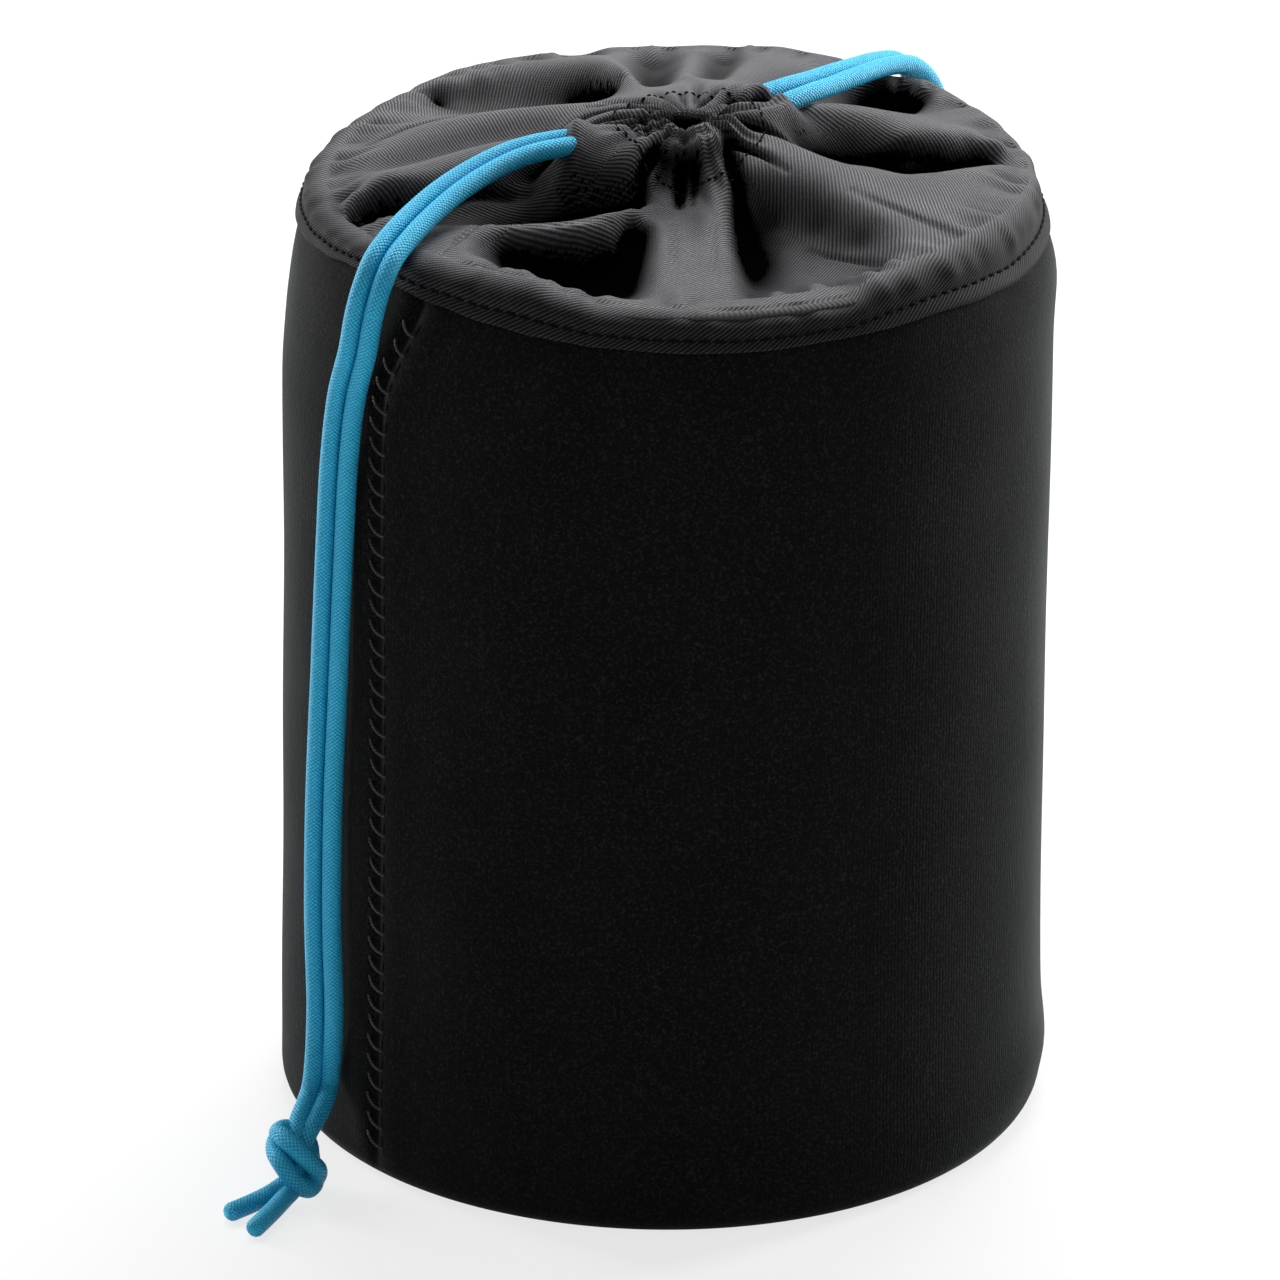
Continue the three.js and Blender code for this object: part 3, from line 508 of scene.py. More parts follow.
def floor():
    s = Stuff("pale_floor")
    cloud = s.noise(s.place(), 3.0, 2.0)
    s.finish(s.mix(cloud, (0.93, 0.93, 0.93), (0.96, 0.96, 0.96)), 0.7, Specular_IOR_Level=0.1)
    s.white_to_camera("ShaderNodeEmission", FLOOR_WHITE_SHARE)
    half = FLOOR_SIZE / 2
    corners = [(-half, -half, 0), (half, -half, 0), (half, half, 0), (-half, half, 0)]
    mesh_object("floor", corners, [(0, 1, 2, 3)], [np.array(corners)[:, :2]], s.material)


def world():
    """A dim light all round."""
    bpy.context.scene.world = bpy.data.worlds.new("studio")
    nodes = Nodes(bpy.context.scene.world, "ShaderNodeBackground", "ShaderNodeOutputWorld")
    nodes.shader.inputs["Strength"].default_value = WORLD_STRENGTH
    nodes.shader.inputs["Color"].default_value = (1, 1, 1, 1)
    nodes.white_to_camera("ShaderNodeBackground")


camera()
floor()
world()
for light in LIGHTS:
    soft_light(*light)
bpy.context.scene.view_settings.view_transform = "Standard"


# Drawcords

JOIN_Z = 136.4 * MM
STEP = 0.3 * MM
# The middle of each pair's knot, and the bearing that it faces.
LEFT_KNOT, LEFT_KNOT_FACES_DEG = (-0.0529, -0.0427, 0.005), -90
RIGHT_KNOT, RIGHT_KNOT_FACES_DEG = (0.0360, 0.0594, 0.005), 109
# The overhand knot that holds a pair together: each strand's way through it to its cut end, in mm from the knot's
# middle, to the right, up and forward in a frame that leans back by KNOT_LEAN_DEG.
KNOT_LEAN_DEG = 23.2
KNOT_STRANDS = {
    -1: [(2.2, 10.8, -6), (1.5, 8.4, -4.4), (0.6, 6, -2.2), (0.2, 3.8, -0.8), (-0.4, 1, -0.8), (-0.6, -1.4, -1.2),
         (0.8, -2.7, -1.4), (3, -2.5, -0.4), (3.5, -1.2, 1.2), (2.2, 0.2, 2.6), (0.4, 1.9, 3), (-1.4, 3.4, 2.2),
         (-2.3, 4.1, 0.4), (-1.2, 4.6, -1.8), (1.2, 3.6, -2.8), (2.2, 1.2, -2.4), (1, -1, -0.4), (-0.8, -2.9, 1.2),
         (-2.8, -4.4, 2.0), (-5.6, -5.8, 4.8), (-8.6, -7.0, 7.5)],
    1: [(4.8, 10.8, -6.2), (4.3, 8.8, -4.8), (3.3, 6.5, -2.8), (1.9, 3.9, -1.2), (0.9, 1.2, -1.8), (0.8, -0.8, -2.8),
        (2, -2, -2.6), (3, -2.9, -0.6), (2.2, -3.9, 1), (0.6, -3.2, 2.4), (-0.8, -1.5, 3), (-2, 0.2, 2.6),
        (-2.7, 1.5, 1), (-2.5, 3, -1), (-0.6, 3.6, -3.4), (1.6, 2.2, -4), (2.3, -0.4, -3), (1, -2.2, -0.6),
        (0.1, -3.8, 1.4), (-1.2, -5.2, 3.6), (-2.9, -7.0, 7.5), (-5, -9, 12.1)],
}


def between(a, b, start, end, u):
    return (end - u) / (end - start) * a + (u - start) / (end - start) * b


def curve_through(points, step):
    """A smooth line through points, centripetal Catmull-Rom, with points a step apart."""
    p = np.asarray(points, float)
    p = np.vstack([2 * p[0] - p[1], p, 2 * p[-1] - p[-2]])
    out = []
    for k in range(1, len(p) - 2):
        near = p[k - 1:k + 3]
        t = np.cumsum([0.0] + [max(np.linalg.norm(b - a), 1e-9) ** 0.5 for a, b in zip(near, near[1:])])
        u = np.linspace(t[1], t[2], 24, endpoint=False)[:, None]
        a1, a2, a3 = (between(near[n], near[n + 1], t[n], t[n + 1], u) for n in range(3))
        b1, b2 = between(a1, a2, t[0], t[2], u), between(a2, a3, t[1], t[3], u)
        out.append(between(b1, b2, t[1], t[2], u))
    return respaced(np.vstack([*out, p[-2]]), step)


def respaced(line, step):
    """The same line through points that are a step apart."""
    run = run_along(line)
    at = np.linspace(0, run[-1], max(2, int(round(run[-1] / step)) + 1))
    return np.stack([np.interp(at, run, line[:, k]) for k in range(3)], 1)


def travel_bearings(route):
    """The bearing in which a pair travels at each point of its way, turned evenly where it runs down."""
    last = len(route) - 1
    known = []
    for k in range(last + 1):
        d = np.subtract(route[min(k + 1, last)], route[max(k - 1, 0)])
        if math.hypot(d[0], d[1]) > abs(d[2]):
            known.append((k, math.atan2(d[1], d[0])))
    return np.interp(range(last + 1), [k for k, _ in known], np.unwrap([b for _, b in known]))


def strand_points(route, side, exit_side, spread_points=5):
    """One strand's own points, to one side of the pair's way."""
    points = []
    for k, ((x, y, z), bearing) in enumerate(zip(route, travel_bearings(route))):
        wide = exit_side + (STRAND_SIDE - exit_side) * min(k / spread_points, 1)
        apart = max(STRAND_SIDE, wide) * side
        points.append((x + apart * math.cos(bearing + math.pi / 2), y + apart * math.sin(bearing + math.pi / 2), z))
    return np.array(points)


def knotted(centre, facing_deg, side):
    """One strand through the knot that it shares with its neighbour, and its cut end."""
    facing, lean = math.radians(facing_deg), math.radians(KNOT_LEAN_DEG)
    away = polar(1.0, facing)
    across, up = polar(1.0, facing + math.pi / 2), np.array([0, 0, 1.0])
    rise = -away * math.sin(lean) + up * math.cos(lean)
    forward = away * math.cos(lean) + up * math.sin(lean)
    return np.array([np.add(centre, (u * across + v * rise + w * forward) * MM) for u, v, w in KNOT_STRANDS[side]])


def braid_relief(along, angle):
    """How far the plaits stand out, over the cord's length and round it."""
    a, b = 6 * angle / TAU, along / MM / BRAID_PITCH_MM
    over = np.sin(TAU * (a + b)) * np.sin(TAU * (a - b))
    return 0.035 * MM * (np.sqrt(np.abs(over)) - 0.6)


def drawcord(name, route, exit_side, knot_centre, facing_deg):
    """The two strands of a pair, each as a stretch over the collar and a stretch that hangs to the knot."""
    for number, side in ((1, -1), (2, 1)):
        way = np.vstack([strand_points(route, side, exit_side), knotted(knot_centre, facing_deg, side)])
        line = curve_through(way, STEP)
        split = int(np.argmax(line[:, 2] < JOIN_Z))
        lead, drop = line[:split + 1], line[split:]
        obj = tubes(f"{name}_cord_over_collar_{number}", [lead], CORD_D / 2, 24, BRAID, braid_relief)
        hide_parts(f"{name}_cord_lead_{number}")
        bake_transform(obj)
        obj = tubes(f"{name}_cord_hanging_{number}", [drop], CORD_D / 2, 24, BRAID, braid_relief)
        nodes = [f"{name}_cord_drop_{number}"] + ([f"{name}_cord_knot"] if number == 1 else [])
        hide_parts(*nodes)
        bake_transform(obj)


drawcord("left", LEFT_ROUTE, STRAND_SIDE, LEFT_KNOT, LEFT_KNOT_FACES_DEG)
drawcord("right", RIGHT_ROUTE, RIGHT_EXIT_SIDE, RIGHT_KNOT, RIGHT_KNOT_FACES_DEG)


# Sleeve

def drawn_share(z):
    """0 on the straight wall, 1 at the top edge, which the collar draws in."""
    return np.clip(1 - (TOP_Z - z) / DRAWN_IN_H, 0, 1)


def body_radius(z):
    """The sleeve's outer radius, before its lumps."""
    climb = np.clip((z - FOOT_ROUND) / (TOP_Z - FOOT_ROUND), 0, 1)
    return FOOT_R + (BODY_R - FOOT_R) * smooth(climb / 0.5) - (BODY_R - TOP_R) * drawn_share(z) ** 2


def seam_bearing(z):
    """The bearing of the side seam, which drifts where the wall is drawn in."""
    return np.radians(SEAM_DEG + SEAM_DRIFT_DEG * smooth(drawn_share(z)))


def lumps(angle, z):
    """Soft unevenness of the padded wall, in metres."""
    z = z / MM
    # soft waves all round, which fade at the foot and under the collar
    made = 0.11 * np.sin(3 * angle + 0.021 * z + 1.3) + 0.10 * np.sin(5 * angle - 0.047 * z + 0.4)
    made += 0.07 * np.sin(9 * angle + 0.083 * z + 2.2) * np.sin(0.06 * z + 0.8) + 0.06 * np.sin(0.13 * z + 2 * angle)
    made *= smooth(z / 14) * smooth((142 - z) / 12)
    # the left shoulder is drawn in, the right side bulges under the rim and over the foot
    left, right = (1 - np.cos(angle)) / 2, np.maximum(np.cos(angle), 0)
    made -= 0.75 * left * smooth((z - 112) / 16)
    made += 0.8 * right * (np.exp(-(((z - 129.5) / 5) ** 2)) + np.exp(-(((z - 7) / 6) ** 2)))
    return made * MM


def sleeve():
    """The padded wall with its turned-in foot, closed at the seam."""
    rows, wall_rows = 288, 120
    edge_r = FOOT_R - FOOT_TURN_W
    outer = [(edge_r, 1.2 * MM), (edge_r + 0.8 * MM, 0.35 * MM), (edge_r + 1.7 * MM, 0)]
    inner = [(edge_r, WALL), (edge_r + 0.3 * MM, WALL), (edge_r + 0.6 * MM, WALL)]
    for k in range(9):
        a = math.pi / 2 * k / 8
        outer.append((FOOT_R - FOOT_ROUND * (1 - math.sin(a)), FOOT_ROUND * (1 - math.cos(a))))
        inner.append((FOOT_R - WALL - INNER_ROUND * (1 - math.sin(a)), WALL + INNER_ROUND * (1 - math.cos(a))))
    for z in np.linspace(FOOT_ROUND, TOP_Z, wall_rows + 1)[1:]:
        inner_z = WALL + INNER_ROUND + (TOP_Z - WALL - INNER_ROUND) * (z - FOOT_ROUND) / (TOP_Z - FOOT_ROUND)
        outer.append((float(body_radius(z)), z))
        inner.append((float(body_radius(inner_z)) - WALL, inner_z))
    outer, inner = np.array(outer), np.array(inner)
    share = np.linspace(0, 1, rows + 1)
    # more rows near the seam and the sides that show
    bunched = (share - 0.62 * np.sin(4 * math.pi * share) / (4 * math.pi)
               - 0.3 * np.sin(TAU * share) / TAU)
    turn = bunched[:, None] * TAU
    z = outer[None, :, 1]
    angle = seam_bearing(z) + turn
    off_seam = np.minimum(turn, TAU - turn) * outer[None, :, 0]
    crease = SEAM_CREASE_D * np.exp(-(off_seam / SEAM_CREASE_W) ** 2)
    swell = 0.35 * MM * np.exp(-((off_seam - 3.2 * MM) / (2.6 * MM)) ** 2)
    r = outer[None, :, 0] + (lumps(angle, z) - crease + swell) * smooth(z / (8 * MM))
    face = polar(r, angle, z + 0 * turn)
    back = polar(inner[None, :, 0] + 0 * turn, seam_bearing(inner[None, :, 1]) + turn, inner[None, :, 1] + 0 * turn)
    run = run_along(outer)
    places = np.stack(np.broadcast_arrays(turn * BODY_R, run[None, :]), -1) / MM
    obj = closed_sheet("foam_sleeve", face[:-1], back[:-1], lambda cell, j, i: places[j, i], FOAM_RUBBER)
    finished(obj, ["sleeve"])


sleeve()


# Stitches

def arched(a, b, out, rise, sink=0.15 * MM, steps=5):
    """A stitch from a to b, sunk at its ends, that rises along the direction out."""
    t = np.linspace(0, 1, steps)[:, None]
    lift = -sink + (rise + sink) * np.sin(math.pi * t) ** 0.6
    return a + (b - a) * t + np.asarray(out) * lift


def side_seam():
    """The flat seam's cover stitch: slanting threads across the crease, and the fine threads that lock them."""
    pitch, half, slanting, locking = 3.1 * MM, 1.65 * MM, [], []

    def at(side, height):
        r = body_radius(height)
        bearing = seam_bearing(height) + side / r
        return polar(r + lumps(bearing, height) + 0.14 * MM, bearing, height), polar(1.0, bearing)

    z, k = 5.5 * MM, 0
    while z < RIM_Z - 1.5 * MM:
        uneven = 0.16 * MM * math.sin(2.4 * k)
        (a, out), (b, _) = at(-half + uneven, z + pitch * 0.66), at(half * 0.9 + uneven, z + pitch * 0.04)
        sag = 0.3 * MM * np.sin(math.pi * np.linspace(0, 1, 7))[:, None] * np.array([0, 0, -1])
        slanting.append(arched(a, b, out, 0.34 * MM, steps=7) + sag)
        (a, _), (b, _) = at(-half, z + pitch * 0.1), at(-half * 0.92, z + pitch * 0.62)
        locking.append(arched(a, b, out, 0.12 * MM))
        (a, _), (b, _) = at(half * 0.95, z + pitch * 0.12), at(half, z + pitch * 0.8)
        locking.append(arched(a, b, out, 0.12 * MM))
        z, k = z + pitch, k + 1
    finished(tubes("side_seam_stitches", slanting, 0.21 * MM, 8, SEAM_THREAD), ["side_seam_thread"])
    finished(tubes("side_seam_locking_stitches", locking, 0.11 * MM, 6, THREAD), [])


side_seam()


# Base

def base():
    """The base disc, the pad and its lining, and the bound seam that holds them."""
    panel_r = FOOT_R - FOOT_TURN_W - GAP
    lip = [(0, 0.5 * MM), (panel_r * 0.6, 0.25 * MM), (panel_r - 6 * MM, 0), (panel_r - 2.2 * MM, 0.05 * MM),
           (panel_r - 0.7 * MM, 0.5 * MM), (panel_r, 1.3 * MM), (panel_r, WALL), (0, WALL)]
    finished(spun("base_disc", lip, FOAM_RUBBER), ["base_panel"])
    pad_low, pad_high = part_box("base_pad")
    r, low, top, soft = pad_high.x, pad_low.z, pad_high.z, 1.2 * MM
    rim = [(r - soft * (1 - math.sin(a)), top - soft * (1 - math.cos(a))) for a in np.linspace(math.pi / 2, 0, 7)]
    outline = [(0, low), (r - 0.5 * MM, low), (r, low + 0.5 * MM), *rim, (r * 0.5, top), (0, top)]
    pad = spun("base_cushion", outline, FOAM)
    finished(pad, ["base_pad"])
    cloth_low, cloth_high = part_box("base_lining")
    r, low, top, thick = cloth_high.x, cloth_low.z, cloth_high.z, 0.6 * MM
    turn = 1.5 * MM
    bend = np.linspace(0, math.pi / 2, 7)
    over = [(r - turn * (1 - math.cos(a)), top - turn * (1 - math.sin(a))) for a in bend]
    under = [(p[0] - thick * math.cos(a), p[1] - thick * math.sin(a)) for p, a in zip(over, bend)]
    outline = [(0, top - thick), *under[::-1], (r - thick, low), (r, low), *over, (0, top)]
    lining = finished(spun("base_lining_cloth", outline, LINING), ["base_lining"])
    low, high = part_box("base_binding_tape")
    r = high.x - 0.1 * MM
    tape = [(r - 0.7 * MM, low.z), (r, low.z), (r, high.z), (r - 0.7 * MM, high.z)]
    finished(spun("base_binding", tape, TAPE), ["base_binding_tape"])
    count, seam_r, lines = 150, FOOT_R - FOOT_TURN_W - GAP / 2, []
    for k in range(count):
        a, b = TAU * k / count, TAU * (k + 0.7) / count
        start, end = polar(seam_r - 0.8 * MM, a, 0.75 * MM), polar(seam_r + 0.9 * MM, b, 0.75 * MM)
        lines.append(arched(start, end, (0, 0, -1), 0.2 * MM))
    finished(tubes("base_seam_stitches", lines, 0.2 * MM, 6, THREAD), ["base_seam_thread"])


def rim_facing():
    """The tape over the sleeve's raw top edge: up its inner wall, and outwards over the top."""
    wall = [(float(body_radius(z)) - WALL - GAP, z)
            for z in np.linspace(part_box("rim_facing_tape")[0].z, TOP_Z, 9)]
    inside = [(p[0] - TAPE_T, p[1]) for p in wall]
    top_inner, r, top = TOP_R - WALL - GAP, TOP_R - TAPE_T, TOP_Z + GAP
    tape = [*wall, (top_inner, top), (r, top), (r, top + TAPE_T), (top_inner - TAPE_T, top + TAPE_T), *inside[::-1]]
    finished(spun("rim_facing", tape, TAPE), ["rim_facing_tape"])


base()
rim_facing()


# Collar

# By bearing, in mm: rise of the collar's lower edge over its lowest part, and radius and rise of the shoulder's crest.
EDGE_RISES = {-180: 0.6, -166: 1.4, -156: 2.3, -148: 3.2, -142: 3.6, -134: 3.4, -128: 2.9, -118: 2.0, -110: 1.4,
              -100: 0.9, -86: 0.5, -76: 0.5, -65: 0.9, -56: 1.0, -46: 1.2, -34: 0.5, -25: 0, -15: 0, 10: 0, 60: 0.2,
              120: 0.2}
LIPS = {-172: (49.4, 6.7), -165: (49.1, 6.3), -158: (49.1, 6.2), -150: (49, 6.4), -143: (49, 7.3), -135: (49, 8.2),
        -119: (49, 8.1), -113: (49, 8.2), -107: (49, 6.9), -101: (49.2, 5.8), -88: (49.4, 5.6), -78: (49.8, 5.0),
        -73: (49.9, 5.2), -69: (50, 5), -65: (50, 5.1), -61: (50, 5.1), -54: (49.6, 7.2), -45: (49.4, 8.0),
        -30: (49.8, 8.3), -12: (51, 7.8), 0: (51.8, 7.2), 10: (51.8, 7.3), 18: (51, 7.8), 26: (50.2, 8.7),
        34: (49.6, 8.9), 41: (49.4, 9.7), 50: (48.9, 8.7), 63: (48.8, 9.5), 71: (48.8, 9.7), 80: (48.8, 9.0),
        92: (48.8, 8.6), 100: (48.8, 8.6), 106: (48.8, 7.7), 114: (48.8, 8.7), 130: (48.8, 8.7), 140: (48.4, 7.8),
        152: (48.2, 7.3), 166: (48.6, 6.8)}
# The lapped edge and the band over the sleeve: rise, and how far each row of points stands out, in mm.
BAND_SWELLS = ((0.0, -0.15), (0.12, 0.08), (0.7, 0.16), (1.5, 0.05), (2.0, -0.06), (2.4, -0.14), (2.8, -0.06),
               (3.4, 0.1), (4.0, 0.2))
# Lines along the folds, as x, y and rise above the collar's lower edge in mm: crests first, then hollows.
FOLDS = [
    [(8, -1, 15.2), (13, -3.5, 14.8), (18.5, -6.5, 13.6), (24, -9.5, 12.2), (30, -13, 10.8), (36, -18.5, 9.6),
     (42.5, -26, 8.7)],
    [(8, -6.8, 14.6), (11, -12, 12.4), (15.5, -13.4, 11.2), (21.5, -15.5, 10.2), (27, -20, 9.4), (31.5, -25, 8.6)],
    [(9, 4.5, 15), (15, 8, 14.6), (23, 11, 13.6), (30.5, 11.5, 12.4), (37.5, 11, 11.2), (44, 10, 10), (48, 8, 9)],
    [(34, 5.8, 10.6), (40.5, 7.4, 10)],
    [(28.5, -4.5, 9.8), (33.5, -6, 9.4), (38, -5, 9.4), (44.5, -1, 9), (48, 2, 8.2)],
    [(2.5, -6.6, 16.6), (2.6, -8.6, 14.6), (2.8, -11, 12), (3, -14, 9.8), (3, -18, 8.6), (3, -28.5, 7.3),
     (3, -39.5, 6.3), (3.5, -46, 5.9)],
    [(1, -6.6, 16.6), (0.2, -8.6, 14.6), (-0.6, -11, 12.6), (-1.7, -14, 10.6), (-2.4, -18.5, 8.6),
     (-2.5, -28, 6.8), (-2.5, -39.5, 5.8), (-2, -46, 5.6)],
    [(4.6, -6.6, 16.4), (5.8, -9, 14.4), (7, -12.4, 11.8), (7.8, -15, 10.2), (8.2, -18.5, 8.8), (8.6, -28, 6.8),
     (9, -38.5, 5.6), (9, -46, 5.3)],
    [(-3, -16.5, 9.2), (-5.5, -20.5, 9.4), (-9, -24.5, 9.6), (-12.5, -26.5, 9.5), (-17, -27, 9.3), (-21, -27, 9.1),
     (-24.5, -27, 9), (-29, -26.5, 8.8), (-33, -28, 8.4)],
    [(-30, -34, 8.4), (-27.5, -38, 8.2)],
    [(-2, -7.4, 16.8), (-7, -8.4, 17.4), (-11, -9.6, 17.6)],
    [(-3, -11, 15.6), (-7, -12, 15.8), (-11, -13.2, 15.8)],
    [(-5, -4.6, 16.2), (-9, -5.4, 16.4), (-13.2, -6.2, 16)],
    [(-3, -13.8, 13), (-7, -15, 12.4), (-11.4, -16.2, 11.8)],
    [(-15.2, -6.6, 16.4), (-14.9, -9, 17.4), (-14.2, -11.6, 17.4), (-13.2, -14, 15.8)],
    [(-17.8, -7.6, 12.8), (-17.4, -10.8, 12.2), (-16.4, -14, 11.6)],
    [(6, 1.6, 16.8), (9.4, 2.6, 17.2), (13, 4, 17)],
    [(4.4, 3.4, 16.6), (6.8, 7, 17.2), (9, 10.6, 17)],
    [(8, 5, 17.2), (11, 7.4, 17.4)],
    [(12.6, 1, 16.4), (15, 3, 16.6)],
    [(11, 12, 16.6), (12.6, 10.2, 17.3), (14.4, 8.2, 17.4), (16.4, 6.2, 17.2), (17.6, 4.8, 16)],
    [(20, 7.8, 12.8), (17.6, 10.6, 12.8), (14.6, 13.2, 12.6)],
    [(-15.5, -5, 14), (-20, -5, 13.8), (-23.5, -5.5, 13.4), (-28.5, -7.5, 12.8), (-34, -9.5, 11.8), (-40, -10, 10.8),
     (-44.5, -9.5, 9.2), (-47, -8.5, 8)],
    [(-27, -9.4, 12), (-34, -12.6, 10.6), (-39, -14, 9.8), (-45, -13, 8.8)],
    [(-9.5, 8, 14.6), (-16, 8, 14), (-24.5, 9, 12.6), (-32.5, 8, 11), (-39.5, 4, 9.6), (-45, 1, 8.2)],
    [(-6, 19, 14), (-10.5, 26.5, 12.8), (-16.5, 33.5, 11.4), (-22, 37, 10.2), (-28, 35.5, 9.4), (-33, 33, 9)],
    [(1.5, 20.5, 14.2), (3, 31.5, 12), (3.5, 40, 10.4), (4, 44, 9.8)],
    [(-5, 20.5, 13.6), (-6, 33, 11.2), (-7, 42.5, 9.6)],
    [(8.5, 20, 14), (10.5, 32, 12), (12, 41, 10.4)],
    [(-41.5, -17.5, 6.6), (-38, -19, 7), (-36, -23, 7.6)],
    [(15.5, -41, 5.2), (16, -46, 5.6)],
    [(20.5, -39, 5.6), (20.5, -44.5, 5.4)],
    [(25.5, -37, 5.8), (26, -42, 5.8)],
    [(-5, -24, 4.6), (-5, -30, 3), (-5, -38, 3.2), (-5, -44, 4.4)],
    [(-9, -29, 3), (-12, -31, 2.6), (-18, -31.2, 3), (-22.4, -30.6, 4.2), (-23.6, -34, 5)],
    [(-11, -39, 2.8), (-12, -44, 4.2), (-18, -41, 4.4), (-17, -36, 3)],
    [(-5, -17.4, 8), (-9, -19.6, 6.2), (-14, -21, 4.6), (-19, -21.4, 4.4), (-24, -21.4, 5), (-29, -21, 6.4)],
    [(-16, -9, 11.2), (-21, -11, 9.2), (-27, -14, 7.6), (-33, -17.4, 5.6), (-38.6, -16.6, 4.6), (-43, -17.4, 3.6),
     (-45.6, -19, 4)],
    [(-45, -23.4, 5), (-42, -25, 5.4)],
    [(-17.5, 3.5, 12.2), (-24.5, 3.5, 10.6), (-31.5, 2, 9.2), (-38, -1, 8.2), (-44, -3.6, 7.8)],
    [(-7.5, 21, 11.6), (-13, 26.5, 9), (-20.5, 28.5, 7.4), (-28, 29.5, 6.6), (-34.5, 30, 6.4)],
    [(-2.5, 21, 11.2), (-2.5, 33.5, 8.6), (-2.5, 42.5, 7.4)],
    [(6, 24, 11.6), (7, 34, 9.4), (8, 42, 8.4)],
    [(17, 22, 11), (22, 27, 8.4), (27, 33, 6.4), (31.5, 34, 6), (36, 30, 6.2)],
    [(18.4, 1.4, 11.6), (22, 2, 8.2), (26, 1.6, 6), (31, 0.6, 4.8), (36, 0.4, 4.2), (41, 3, 4.2), (45, 5, 5)],
    [(10.6, -17, 7), (10.8, -20.5, 4.6), (11, -26, 3.2), (11.4, -33, 3), (12, -40, 3.4), (12.8, -44.5, 4.4)],
    [(15, -17.8, 6), (16, -22, 4.2), (17, -29, 3.6), (18, -36, 3.6), (18.2, -42, 4.2)],
    [(21, -19.8, 6), (23, -25, 4.6), (24, -31, 4.4), (23.4, -38, 4.4)],
    [(27.4, -24.6, 6), (28.6, -31, 5.4), (29, -36, 5)],
]
# Narrow creases in the gathered cloth: its line in x and y, its half width and its depth, in mm.
CREASES = [
    ([(1.7, -7.2), (1.4, -10.5), (1.6, -14), (1.4, -17)], 0.8, 1.7),
    ([(3.6, -7.2), (3.8, -10.5), (3.4, -14), (3, -17)], 0.6, 1.1),
    ([(6.4, -5.4), (8.4, -9), (9.8, -14), (10.6, -21)], 1, 2.4),
    ([(-0.8, -7.2), (-2.4, -10.5), (-3.8, -14.5), (-4.8, -19)], 0.9, 2.2),
    ([(-17, 1), (-11, 4), (-5, 3), (-2.4, -2), (-1.6, -7)], 0.7, 1.5),
    ([(-15, -2), (-9, 0.5), (-4.6, -1.5), (-3.4, -6), (-3.2, -10)], 0.7, 1.6),
    ([(-14, -5.5), (-9, -3.4), (-6, -5), (-4.8, -8.5)], 0.6, 1.3),
    ([(-12, 7.5), (-6, 7), (-2, 3.5)], 0.6, 1.2),
    ([(9, -1.5), (14, -1.5), (19, -3), (25, -6)], 0.8, 1.6),
    ([(8.5, -6), (13, -9), (16.5, -12)], 0.6, 1.0),
    ([(-8.5, -24.6), (-16, -26.4), (-24, -26)], 0.6, 0.8),
    ([(-20, 12), (-28, 14), (-37, 13), (-43, 9)], 0.9, 1.2),
    ([(-20, -13), (-28, -13), (-36, -17), (-42, -20)], 0.9, 1.2),
    ([(22, 2), (32, 4.5), (41, 5)], 0.8, 1.2),
    ([(26, -16), (33, -21), (41, -27)], 0.8, 0.7),
    ([(20, -24), (27, -29), (33, -36)], 0.7, 0.8),
    ([(-33, -39.5), (-31.5, -35), (-28, -28), (-25, -23.5)], 0.4, 0.5),
    ([(0.5, -24), (0.8, -32), (0.2, -40)], 0.8, 0.35),
    ([(6.5, -22), (6.2, -31), (7, -41)], 0.8, 0.4),
]
# The small gathers above the stitching: waves round the collar, phase, and height in mm.
GATHERS = ((43, 0.3, 0.13), (61, 1.9, 0.1), (83, 4.0, 0.06), (29, 2.2, 0.1))
# The gathered ring round the mouth: distance from the mouth's middle and rise, in mm.
RING = [(6.4, 17.4), (3.8, 17.6)]
MOUTH_RADIUS = 3.8
FOLD_SHARPNESS, FOLD_SLACK, FOLD_STEP = 1.3, 0.12, 1.8


def fold_surface():
    """Rise of the collar over x and y, in mm, through the lines of the folds."""
    known = []
    for line in FOLDS:
        line = np.array(line, float)
        known.append(respaced(line, FOLD_STEP) if len(line) > 1 else line)
    mouth = MOUTH / MM
    for radius, rise in RING:
        turn = np.arange(18) * math.pi / 9
        known.append(np.stack([mouth[0] + radius * np.cos(turn), mouth[1] + radius * np.sin(turn), 0 * turn + rise], 1))
    turn = np.radians(np.arange(-180, 180, 5))
    radius, rise = by_bearing(LIPS, turn)
    for inset, more in ((0.6, 0), (2.1, 0.1)):
        known.append(polar(radius - inset, turn, rise + more))
    known = np.concatenate(known)
    middle = known[:, 2].mean()

    def spread(a, b):
        return np.sqrt(((a[:, None, :2] - b[None, :, :2]) ** 2).sum(-1) + FOLD_SHARPNESS**2)

    table = spread(known, known) - FOLD_SLACK * np.eye(len(known))
    weight = np.linalg.solve(table, known[:, 2] - middle)

    def rise(x, y):
        parts = np.array_split(np.stack([x.ravel(), y.ravel()], 1), 64)
        return middle + np.concatenate([spread(part, known) @ weight for part in parts]).reshape(x.shape)

    return rise


def by_bearing(table, turn):
    """The values of a table at any bearing, the ways between them eased."""
    bearings = np.radians(sorted(table))
    values = np.array([np.atleast_1d(table[b]) for b in sorted(table)]).T
    at = np.mod(turn - bearings[0], TAU)
    knots = np.append(bearings - bearings[0], TAU)
    k = np.clip(np.searchsorted(knots, at, side="right") - 1, 0, len(bearings) - 1)
    t = smooth((at - knots[k]) / (knots[k + 1] - knots[k]))
    return [v[k] + (np.append(v, v[0])[k + 1] - v[k]) * t for v in values]


# Points round the collar, from its lip to the mouth and down into the mouth, and the station of the lip.
ROUND, ROOF, INTO = 840, 120, 8
SHOULDER = 12
LIP_STATION = len(BAND_SWELLS) + SHOULDER - 1
